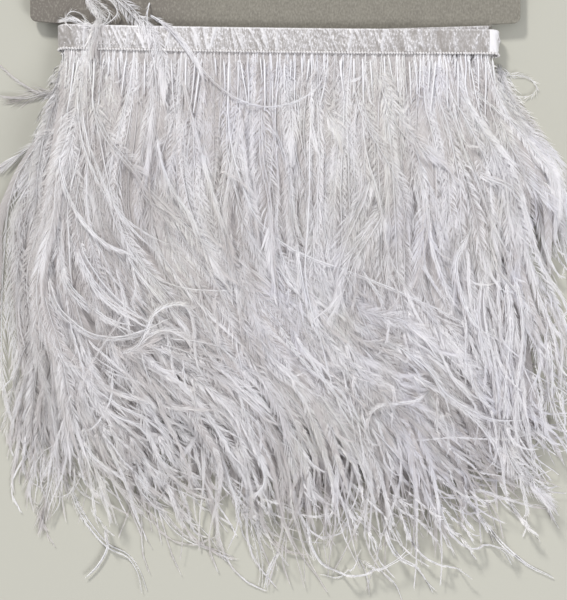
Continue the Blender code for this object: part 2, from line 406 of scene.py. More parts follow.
def bendPath(path, dice, wander, hook, hookFrom, bias):
    # the same steps as the path given, each turned a little in the plane of the fringe
    steps = np.diff(path, axis=0)
    flat = np.hypot(steps[:, 0], steps[:, 1])
    heading = np.arctan2(steps[:, 0], -steps[:, 1])
    s = np.linspace(0.0, 1.0, len(heading))
    slow = np.sin(2 * np.pi * (s * dice.uniform(0.8, 2.2) + dice.uniform()))
    quick = np.sin(2 * np.pi * (s * dice.uniform(2.6, 5.5) + dice.uniform()))
    turn = wander * (0.15 + 0.85 * s) * (0.65 * slow + 0.45 * quick)
    turn += bias * ease(0.0, 0.25, s)
    turn += hook * np.clip((s - hookFrom) / (1 - hookFrom), 0, 1) ** 1.5
    heading = heading + turn
    bent = np.array(path)
    bent[1:, 0] = path[0, 0] + np.cumsum(flat * np.sin(heading))
    bent[1:, 1] = path[0, 1] - np.cumsum(flat * np.cos(heading))
    return bent


def quillPath(rows, across, up, reach, rootUp=0.45):
    # a line inside its lock, at a share of its width and height
    s = np.linspace(0.0, 1.0, plumeLook["stemPoints"])
    at = np.clip(s * reach, 0.0, 1.0)
    y, left, right, low, high = readAlong(rows, np.linspace(0.0, 1.0, len(rows)), at).T
    widest = (rows[:, 2] - rows[:, 1]).max() / 2
    half = np.maximum((right - left) / 2, widest * 0.3)
    inside = float(np.clip(across, 0.04, 0.96))
    x = (left + right) / 2 + (2 * (inside + (across - inside) * ease(0.08, 0.4, s)) - 1) * half
    y = y + (s * reach - at) * (rows[-1, 0] - rows[0, 0])
    z = low + (high - low) * (rootUp + (up - rootUp) * ease(0.0, 0.06, s))
    z = z * (1 - 0.7 * ease(0.74, 1.0, s))
    path = np.column_stack([x, y, z])
    start = path[0] + np.array([0.0, plumeLook["quillInTape"], 0.0])
    return np.vstack([start, path])


def flueBeside(quill, aside, above, width, dice, manner):
    # one flue of a bundle: it leaves the others below the quill and nears them again at the tip
    look = plumeLook
    s = np.linspace(0.0, 1.0, len(quill))
    spread = 0.05 + 0.95 * ease(0.0, 0.24, s) - 0.3 * ease(0.65, 1.0, s)
    path = quill + directions(quill)[1] * (aside * width * spread)[:, None]
    path[:, 2] += (0.8 * above + 0.9 * (0.5 - aside**2)) * spread * mm
    path[:, 2] += 0.3 * mm * np.sin(2 * np.pi * (s * 2.3 + dice.uniform())) * ease(0.1, 0.4, s)
    path[:, 2] += manner["lift"] * np.sin(np.pi * np.clip(s * 1.1, 0, 1)) ** 2
    path[:, 2] = np.maximum(path[:, 2], look["floorClear"] + 0.4 * mm)
    path[:, 2] = turnBack(path[:, 2], cadHigh[2] + 0.5 * mm, 1, 3 * mm)
    path = bendPath(path, dice, manner["wander"], manner["hook"], manner["hookFrom"], manner["bias"])
    path = bendPath(path, dice, 0.0, manner["tipHook"], manner["tipHookFrom"], 0.0)
    for axis, limit, side in ((0, "reachLeft", -1), (0, "reachRight", 1), (1, "reachDown", -1)):
        path[:, axis] = turnBack(path[:, axis], dice.uniform(*look[limit]), side)
    return readAlong(path, s, s * manner["reach"]) if manner["reach"] < 1.0 else path


def threeSidedTube(path, radii):
    tangent, side = directions(path)
    up = np.cross(side, tangent)
    rings = []
    for angle in np.radians([90.0, 210.0, 330.0]):
        rings.append(path + radii[:, None] * (math.cos(angle) * side + math.sin(angle) * up))
    n = len(path)
    i = np.arange(n - 1)[:, None] * 3
    k = np.arange(3)[None, :]
    a, b = i + k, i + (k + 1) % 3
    first = np.stack([a, b, b + 3], -1).reshape(-1, 3)
    second = np.stack([a, b + 3, a + 3], -1).reshape(-1, 3)
    caps = np.array([[2, 1, 0], [3 * n - 3, 3 * n - 2, 3 * n - 1]])
    return np.stack(rings, axis=1).reshape(-1, 3), np.concatenate([first, second, caps])


def opennessAlong(s, manner):
    # one where the barbules stand out from the stem, nought where they lie along it
    fan = manner["fan"] * np.exp(-(((s - manner["fanAt"]) / 0.07) ** 2))
    close = manner["closeFrom"]
    return np.clip(1.0 - ease(close - 0.16, close + 0.14, s) + fan, 0.0, 1.0)


def barbulePlaces(dice, total, layer, manner):
    # shares of the stem's length, closer together where the barbules stand open
    closed, opened = (plumeLook[key][layer] * manner["coarse"] for key in ("closedSpacing", "openSpacing"))
    s = np.linspace(manner["bare"] / total, 1.0, 160)
    spacing = (closed + (opened - closed) * opennessAlong(s, manner)) * mm
    spacing = spacing * (1 - plumeLook["tipCrowded"] * ease(plumeLook["tipFrom"], 1.0, s))
    number = np.concatenate([[0.0], np.cumsum(np.diff(s) * total / spacing[1:])])
    count = max(6, int(number[-1]))
    picks = (np.arange(count) + dice.uniform(0, 1, count)) / count * number[-1]
    return np.interp(picks, number, s)


def combedRow(sign, path, radii, dice, layer, manner, twistRate, twistStart):
    # the barbules on one side of the stem, in tufts that lean and run together
    look = plumeLook
    arc = lengthsAlong(path)
    total = arc[-1]
    s = barbulePlaces(dice, total, layer, manner)
    count = len(s)
    base = readAlong(path, arc, s * total)
    base[:, 2] += np.interp(s * total, arc, radii) * manner["hang"]
    tangent = unit(readAlong(directions(path)[0], arc, s * total))
    flat = unit(np.cross(tangent, upward))
    roll = manner["roll"] + manner["twist"] * np.sin(2 * np.pi * twistRate * s + twistStart)
    side = flat * np.cos(roll)[:, None] + np.cross(flat, tangent) * np.sin(roll)[:, None]
    over = np.cross(side, tangent)
    opened = opennessAlong(s, manner)
    nearTip = ease(look["tipFrom"], 1.0, s)
    tuft = np.arange(count) // manner["tuft"]
    groups = tuft[-1] + 1
    tuftAt = np.bincount(tuft, weights=s) / np.bincount(tuft)
    pull = look["gather"] * (tuftAt[tuft] - s)[:, None] * total
    tuftAngle = dice.normal(0.0, 1.0, groups)[tuft]
    tuftLift = dice.normal(0.0, 1.0, groups)[tuft]
    tuftLength = dice.uniform(*look["tuftLength"], groups)[tuft]
    angle = manner["closedAngle"] + (manner["openAngle"] - manner["closedAngle"]) * opened
    angle = angle * (1 - manner["tipClosed"] * ease(0.66, 0.95, s))
    angle = angle * (1 + look["tuftAngle"] * tuftAngle) + dice.normal(0, 0.02, count)
    bareShare = manner["bare"] / total
    grow = ease(bareShare - 0.01, bareShare + 6 * mm / total, s)
    whenOpen, whenClosed = look["barbuleLength"]
    length = (whenClosed + (whenOpen - whenClosed) * opened) * manner["length"]
    length = length * look["longer"][layer] * (0.7 + 0.3 * grow) * (1.0 - look["tipShorter"] * nearTip)
    length = (length * tuftLength * dice.uniform(0.75, 1.05, count))[:, None]
    lift = manner["droop"] + look["tuftLift"] * tuftLift + dice.normal(0, 0.06, count)
    out = unit(sign * side * np.cos(lift)[:, None] + over * np.sin(lift)[:, None])
    direction = tangent * np.cos(angle)[:, None] + out * np.sin(angle)[:, None]
    mid = base + 0.5 * length * direction + 0.6 * pull * tangent
    bow = (0.75 * opened + 0.12 + manner["curl"] * dice.normal(size=count) * opened)[:, None]
    tip = mid + 0.5 * length * unit(direction + bow * tangent) + 0.4 * pull * tangent
    # a spread of tone from tuft to tuft, with painted shade towards the tip
    tuftTone = dice.normal(0.0, look["tuftTone"], groups)[tuft] - look["tipPaintedShade"] * nearTip
    return base, mid, tip, direction, over, opened, tuftTone, nearTip


def barbuleBlades(path, radii, dice, layer, manner):
    # two combed rows of barbules: narrow blades that hang from the underside of the stem
    twist = dice.uniform(0.3, 1.1), dice.uniform(0, 2 * np.pi)
    rows = [combedRow(sign, path, radii, dice, layer, manner, *twist) for sign in (-1.0, 1.0)]
    base, mid, tip, direction, over, opened, tuftTone, nearTip = map(np.concatenate, zip(*rows))
    facing = unit(over + manner["ruffled"] * dice.normal(size=(len(base), 3)))
    whenOpen, whenClosed = plumeLook["barbuleHalfWidth"]
    coarser = plumeLook["coarser"][layer] * math.sqrt(manner["coarse"])
    half = (whenClosed + (whenOpen - whenClosed) * opened) * coarser * dice.uniform(0.7, 1.25, len(base))
    half = half * (1 - plumeLook["tipNarrower"] * nearTip)
    wide = unit(np.cross(direction, facing)) * half[:, None]
    curved = opened > 0.3
    bent = np.stack([base, mid - wide, mid + wide, tip], axis=1)[curved].reshape(-1, 3)
    straight = np.stack([base, mid + 2 * wide, tip], axis=1)[~curved].reshape(-1, 3)
    verts = np.concatenate([bent, straight])
    verts[:, 2] = turnBack(verts[:, 2], cadHigh[2] + 1.6 * mm, 1, 2.5 * mm)
    verts[:, 2] = np.maximum(verts[:, 2], plumeLook["floorClear"])
    i = np.arange(curved.sum())[:, None] * 4
    j = np.arange((~curved).sum())[:, None] * 3 + len(bent)
    faces = np.concatenate([i + [[0, 1, 2]], i + [[2, 1, 3]], j + [[0, 1, 2]]])
    tones = np.concatenate([np.repeat(tuftTone[curved], 4), np.repeat(tuftTone[~curved], 3)])
    return verts, faces, tones


def softVeil(path, halfWidth):
    # a wide soft strip, bent a little down at its edges, closed to a point at its end
    s = np.linspace(0.0, 1.0, len(path))
    half = halfWidth * (0.4 + 0.6 * ease(0.0, 0.2, s)) * np.sqrt(np.clip((1 - s) / 0.35, 0.0, 1.0))
    side = directions(path)[1] * half[:, None]
    middle = path + np.column_stack([0 * s, 0 * s, 0.25 * half])
    verts = np.stack([path - side, middle, path + side], axis=1).reshape(-1, 3)
    verts[:, 2] = np.maximum(verts[:, 2], plumeLook["floorClear"])
    i = np.arange(len(path) - 1)[:, None] * 3
    corners = ([0, 1, 4], [0, 4, 3], [1, 2, 5], [1, 5, 4])
    faces = np.concatenate([i + np.array([three]) for three in corners])
    along = lengthsAlong(path)
    weave = np.stack([np.stack([sign * half, along, 0 * s], axis=1) for sign in (-1, 0, 1)], axis=1)
    return verts, faces, weave.reshape(-1, 3)


def growFlue(path, dice, layer, manner, tone):
    # a whole flue: stem and barbules, with its tone and where its stem is
    s = np.linspace(0, 1, len(path))
    radii = np.interp(s, [0.0, 0.2, 1.0], plumeLook["stemRadius"]) * manner["stem"]
    radii = radii * (1 - manner["thinStart"] * (1 - ease(0.0, 0.25, s)))
    stem = threeSidedTube(path, radii)
    verts, faces, shade = barbuleBlades(path, radii, dice, layer, manner)
    tone += dice.normal(0.0, 1.5)
    # the stem takes the flue's tone, with painted shade towards its tip
    stemTone = tone - plumeLook["tipStemPaintedShade"] * np.repeat(ease(plumeLook["tipFrom"], 1.0, s), 3)
    return joinParts(
        [
            (*stem, stemTone, np.ones(len(stem[0])), np.zeros((len(stem[0]), 3))),
            (verts, faces, tone + 0.5 * shade, np.zeros(len(verts)), np.zeros((len(verts), 3))),
        ]
    )


# what sets a kind of flue apart from the veil, which is soft and wide; a pair is drawn between
# its limits, angles are in degrees and the lift is in mm
flueKinds = {
    "veil": {},
    # coarse barbules that stand open
    "fan": {
        "closeFrom": (0.3, 0.95),
        "openAngle": (30.0, 48.0),
        "closedAngle": (12.0, 20.0),
        "coarse": (1.3, 1.9),
        "curl": 0.1,
        "ruffled": 0.2,
        "lift": (0.4, 1.4),
        "length": (0.9, 1.3),
    },
    # soft and narrow
    "wisp": {
        "closeFrom": (-0.2, 0.3),
        "fan": 0.0,
        "closedAngle": (8.0, 15.0),
        "length": (0.55, 0.85),
        "coarse": 1.5,
        "tipClosed": (0.4, 0.8),
        "stem": (0.5, 0.9),
    },
    # almost bare
    "hair": {"length": (0.15, 0.3), "closeFrom": -0.2, "fan": 0.0, "coarse": 1.6, "stem": 0.7},
    # tight and bright, on top
    "strand": {
        "hang": (-1.0, -0.4),
        "closeFrom": (-0.2, 0.3),
        "fan": 0.0,
        "closedAngle": (6.0, 15.0),
        "length": (0.4, 0.75),
        "coarse": 1.8,
        "droop": (-0.4, 0.0),
        "stem": (1.2, 1.8),
    },
}
flueKinds["shadow"] = flueKinds["fan"]  # laid dark


def flueManner(dice, kind, late=False):
    loose = kind == "strand"
    manner = {
        "wander": math.radians(dice.uniform(4.0, 13.0) + (7.0 if loose else 0.0)),
        "bias": math.radians(dice.normal(0.0, 4.0 if loose else 2.0)),
        "hook": math.radians(dice.normal(0.0, 20.0 if loose else 16.0)),
        "hookFrom": dice.uniform(0.45, 0.85),
        "tipHook": math.radians(dice.normal(8.0, 42.0)),
        "tipHookFrom": dice.uniform(0.72, 0.9),
        "tipClosed": dice.uniform(0.55, 0.9),
        "tuft": dice.choice([2, 3]),  # barbules that cling together
        "lift": dice.uniform(0.8, 2.2) * mm if loose else dice.normal(0.0, 0.3) * mm,
        "reach": dice.uniform(0.5, 0.9) if dice.uniform() < 0.15 else 1.0,
        "bare": dice.uniform(15.0, 60.0) * mm if late else dice.uniform(0.5, 7.0) * mm,
        "hang": dice.uniform(-0.2, 1.8),
        "closeFrom": float(np.clip(dice.normal(0.58, 0.26), 0.1, 1.1)),
        "fan": dice.uniform(0.0, 0.8) if dice.uniform() < 0.35 else 0.0,
        "fanAt": dice.uniform(0.3, 0.8),
        "openAngle": math.radians(dice.uniform(30.0, 52.0)),
        "closedAngle": math.radians(dice.uniform(10.0, 20.0)),
        "roll": dice.normal(0.0, 0.34),
        "twist": dice.uniform(0.1, 0.6),
        "droop": dice.uniform(-0.75, -0.15),
        "length": dice.uniform(0.8, 1.15),
        "coarse": 1.0,
        "stem": dice.uniform(0.6, 1.2),
        "curl": 0.35,
        "thinStart": 0.0,
        "ruffled": 0.15,
    }
    units = {"openAngle": math.radians(1.0), "closedAngle": math.radians(1.0), "lift": mm}
    for key, value in flueKinds[kind].items():
        drawn = dice.uniform(*value) if isinstance(value, tuple) else value
        manner[key] = drawn * units.get(key, 1.0)
    return manner


def barbuleGapShade(tree):
    # painted shade in fine lines between barbules, slanting away from the middle of the wide strips as
    # barbules do
    weave = addNode(tree, "ShaderNodeSeparateXYZ", {"Vector": attributeOf(tree, "weave", "Vector")})
    across = calculate(tree, "ABSOLUTE", weave.outputs["X"])
    slanting = calculate(tree, "MULTIPLY_ADD", across, -2.1, weave.outputs["Y"])
    place = addNode(tree, "ShaderNodeCombineXYZ", {"X": slanting, "Y": across, "Z": weave.outputs["Z"]})
    lines = noiseAt(tree, place.outputs["Vector"], 1100.0, (1.0, 0.1, 1.0), 1.0)
    return remap(tree, lines, 0.62, 0.4, 0.15, 0.95)


def flueMaterial():
    look = plumeLook
    material, tree, shader = newMaterial("ostrichFlue", look["whiteWarm"], 0.5, 0.35)
    tone, stem, strip = (attributeOf(tree, name) for name in ("tone", "stem", "strip"))
    cooler = calculate(tree, "ADD", objectNoise(tree, 16.0, detail=2.0), placeAlong(tree, (1.2, 0.9, 0.0)))
    cool = mixColours(tree, remap(tree, cooler, 0.24, 0.5), look["whiteWarm"], look["whiteCool"])
    patches = remap(tree, objectNoise(tree, 34.0, (1.0, 0.5, 1.0), 2.0), 0.5, 0.66, 0.0, 0.8)
    colour = mixColours(tree, patches, cool, look["whiteYellow"])
    # small and broad patches of tone, then painted light that whitens towards the tips, most at the right
    small = remap(tree, objectNoise(tree, 150.0, (1.0, 0.5, 1.0), 2.0), 0.36, 0.64, -1.2, 1.2)
    broad = remap(tree, objectNoise(tree, 46.0, (1.0, 0.6, 1.0), 1.0), 0.36, 0.64, -1.0, 1.2)
    paintedLightTowardsTips = remap(tree, placeAlong(tree, (5.5, -6.0, 0.0)), -1.0, 3.0, -1.8, 2.2)
    patchesAndPaintedLight = calculate(tree, "ADD", paintedLightTowardsTips, calculate(tree, "ADD", small, broad))
    toneAndPaintedLight = calculate(tree, "ADD", tone, patchesAndPaintedLight)
    # painted shade where tone and painted light run low, painted highlights where they run high
    darker = mixColours(tree, remap(tree, toneAndPaintedLight, 0.6, -2.6), colour, look["greyAndPaintedShade"])
    withPaintedHighlight = mixColours(tree, remap(tree, toneAndPaintedLight, 0.3, 2.2), darker, look["whiteAndPaintedHighlight"])
    # painted shade in the gaps between barbules on the strips, deeper towards their edges
    gapShade = calculate(tree, "MULTIPLY", barbuleGapShade(tree), strip)
    combed = mixColours(tree, gapShade, withPaintedHighlight, look["under"])
    # the stems take some painted highlight
    final = mixColours(tree, remap(tree, stem, 0.0, 1.0, 0.0, 0.4), combed, look["whiteAndPaintedHighlight"])
    feed(tree, shader.inputs["Base Color"], final)
    # barbules let light through, stems and strips less of it, and the lower half a little more
    through = addNode(tree, "ShaderNodeBsdfTranslucent", {"Color": look["throughLight"]})
    solid = calculate(tree, "MULTIPLY_ADD", strip, 0.5, stem)
    gauzy = remap(tree, placeAlong(tree, (0.0, 1.0, 0.0)), -0.04, -0.15, 0.0, 0.1)
    share = calculate(tree, "ADD", remap(tree, solid, 0.0, 1.0, 0.42, 0.1), gauzy)
    both = {"Fac": share, 1: shader.outputs["BSDF"], 2: through.outputs["BSDF"]}
    join = addNode(tree, "ShaderNodeMixShader", both)
    feed(tree, tree.nodes["Material Output"].inputs["Surface"], join.outputs["Shader"])
    return material


def placeInLayer(layer, number, count, rows):
    # what a lock's place in its layer and its width change
    look = plumeLook
    last, first = number == count - 1, number == 0
    nearEnd = last or (layer == "front" and number == count - 2)
    share = (number + 0.5) / count
    widest = (rows[:, 2] - rows[:, 1]).max() / (rows[0, 2] - rows[0, 1])
    fuller = widest ** look["fillWideLocks"]
    flues = look["fluesPerQuill"][layer] - (1 if nearEnd else 0)
    return {
        "share": share,
        "nearEnd": nearEnd,
        "outermost": last or first,
        "underStrips": layer in ("front", "inner") and not (first or nearEnd),
        "quills": round(look["quillsPerLock"] * fuller),
        "flues": 1 if last and layer in ("rear", "back") else flues,
        "veils": 2 if last else 5 if nearEnd or first else round(look["veilsPerLock"][layer] * fuller),
        # painted light that lifts the outermost locks out of the shade of the others
        "tone": look["outermostPaintedLight"].get("last" if last else "first" if first else "", 0.0),
    }


def sideBySide(index, count, spread, dice):
    return 0.5 + ((index + 0.5 + dice.normal(0, 0.2)) / count - 0.5) * spread


def lockVeils(rows, layer, place, dice):
    # the wide soft strips in a lock, with painted shade near the tape and towards the left, and painted
    # light on those that lie higher
    look = plumeLook
    veils = place["veils"]
    lowest, highest = look["veilsBetween"][layer]
    widen = look["widenOutermostVeils" if place["outermost"] else "widenVeils"]
    depths = dice.permutation((np.arange(veils) + 0.5) / veils)
    for veil, depth in enumerate(depths):
        across = sideBySide(veil, veils, widen, dice)
        ends = dice.uniform(*(look["veilsEndAtRight"] if place["nearEnd"] else look["veilsEnd"][layer]))
        line = quillPath(rows, across, lowest + (highest - lowest) * depth, ends, 0.15)
        wander = math.radians(dice.uniform(*look["veilWander"]))
        line = bendPath(line, dice, wander, 0.0, 0.9, math.radians(dice.normal(*look["veilBias"])))
        line[0] = line[1] + np.array([0.0, 1.9 * mm, 0.0])
        verts, faces, weave = softVeil(line, dice.uniform(*look["veilHalfWidth"]))
        weave[:, 2] = veil * 0.01
        leftward = 1 - ease(0.1, 0.5, place["share"])
        # a spread of tone, with painted light on strips higher in the pile and painted shade towards the
        # left and near the tape
        tone = dice.normal(*look["veilToneAndShade"]) + look["veilPaintedLightOnTop"] * (depth - 0.5)
        tone -= look["veilPaintedShadeLeft"] * leftward
        tones = tone - look["veilPaintedShadeByTape"] * (1 - ease(*look["byTape"], weave[:, 1]))
        yield verts, faces, tones, np.zeros(len(verts)), weave


def quillBundle(rows, layer, place, quill, height, dice):
    # the flues of one quill, and the strip that lies under them
    look = plumeLook
    widen = look["widenOutermost" if place["outermost"] else "widen"]
    across = sideBySide(quill, place["quills"], widen, dice)
    rightward = ease(0.3, 0.75, place["share"])
    shorter = look["shorterAtRightInFront" if layer == "front" else "shorterAtRight"]
    reach = dice.uniform(*(far - less * rightward for far, less in zip(look["quillReach"], shorter)))
    if place["nearEnd"]:
        reach *= dice.uniform(*look["shorterNearEnd"])
    lowest, highest = look["lieBetween"][layer]
    line = quillPath(rows, across, lowest + (highest - lowest) * height, reach)
    wander = math.radians(dice.uniform(*look["quillWander"])) * look["looser"][layer]
    bias = math.radians(dice.normal(*look["quillBias"])) * look["looser"][layer]
    hookMean, hookSpread = look["tipsHook"]
    hook = math.radians(dice.normal(hookMean * ease(0.02, 0.14, place["share"]), hookSpread))
    line = bendPath(line, dice, wander, hook, dice.uniform(0.45, 0.75), bias)
    tipHook = dice.normal(*look["tipsTurn"])
    width = look["bundleHalfWidth"] * dice.uniform(0.5, 1.3) * (0.6 if place["outermost"] else 1.0)
    # a spread of tone, with painted light on bundles that lie higher in the pile and on the outermost locks
    bundleTone = dice.normal(*look["bundleTone"]) + look["bundlePaintedLightOnTop"] * (height - 0.5)
    bundleTone += place["tone"]
    if place["underStrips"]:
        ends = int(look["stemPoints"] * dice.uniform(*look["underEnd"]))
        under = line[1:ends] - np.array([0.0, 0.0, look["underDeeper"]])
        under[:, 0] = turnBack(under[:, 0], look["reachRight"][0] - look["underInside"], 1)
        under[:, 0] = turnBack(under[:, 0], look["reachLeft"][1] + look["underInside"], -1)
        verts, faces, weave = softVeil(under, dice.uniform(*look["underHalfWidth"]))
        weave[:, 2] = quill * 0.013 + 0.5
        # a darker tone with a spread: painted shade under the flues
        tones = np.full(len(verts), dice.normal(*look["underToneAndShade"]))
        yield verts, faces, tones, np.zeros(len(verts)), weave
    for flue in range(place["flues"]):
        draw = dice.uniform()
        fan, strand = draw < look["fanShare"][layer], draw > 1 - look["strandShare"][layer]
        kind = "fan" if fan else "strand" if strand else "veil"
        late = kind == "veil" and flue >= place["flues"] - look["lateFlues"][layer]
        manner = flueManner(dice, kind, late)
        manner["tipHook"] = math.radians(tipHook + dice.normal(0.0, 15.0))
        aside = dice.uniform(-1.1, 1.1)
        path = flueBeside(line, aside, dice.uniform(-1, 1), width, dice, manner)
        hidden = look["hiddenShare"][layer] * abs(rows[-1, 0] - rows[0, 0])
        manner["bare"] = max(manner["bare"], hidden)
        yield growFlue(path, dice, layer, manner, bundleTone)


def makePlumes(material):
    total = 0
    for layer in layerOrder:
        nodes = sorted(n for n in frame["nodes"] if n.startswith(layer + "_plume_"))
        for number, name in enumerate(nodes):
            dice = np.random.default_rng([seeds["plumes"], layerOrder.index(layer), number])
            rows = smoothRings(lockRings(frame["nodes"][name]))
            place = placeInLayer(layer, number, len(nodes), rows)
            heights = dice.permutation((np.arange(place["quills"]) + 0.5) / place["quills"])
            parts = list(lockVeils(rows, layer, place, dice))
            for quill, height in enumerate(heights):
                parts += quillBundle(rows, layer, place, quill, height, dice)
            verts, faces, tones, stems, weave = joinParts(parts)
            # marks the wide strips, rising towards their edges where it deepens the painted shade
            strip = (weave[:, 1] > 0) * (1 + 0.5 * np.abs(weave[:, 0]) / plumeLook["veilHalfWidth"][0])
            values = {"tone": tones, "stem": stems, "weave": weave, "strip": strip}
            piece = meshFromArrays(f"{layer}_flues_{number + 1:02d}", verts, faces, values, material)
            finishPiece(piece, "ostrich_plume", name)
            total += len(faces)
        print("plumes:", layer, "layer laid,", len(nodes), "locks,", total, "triangles so far")
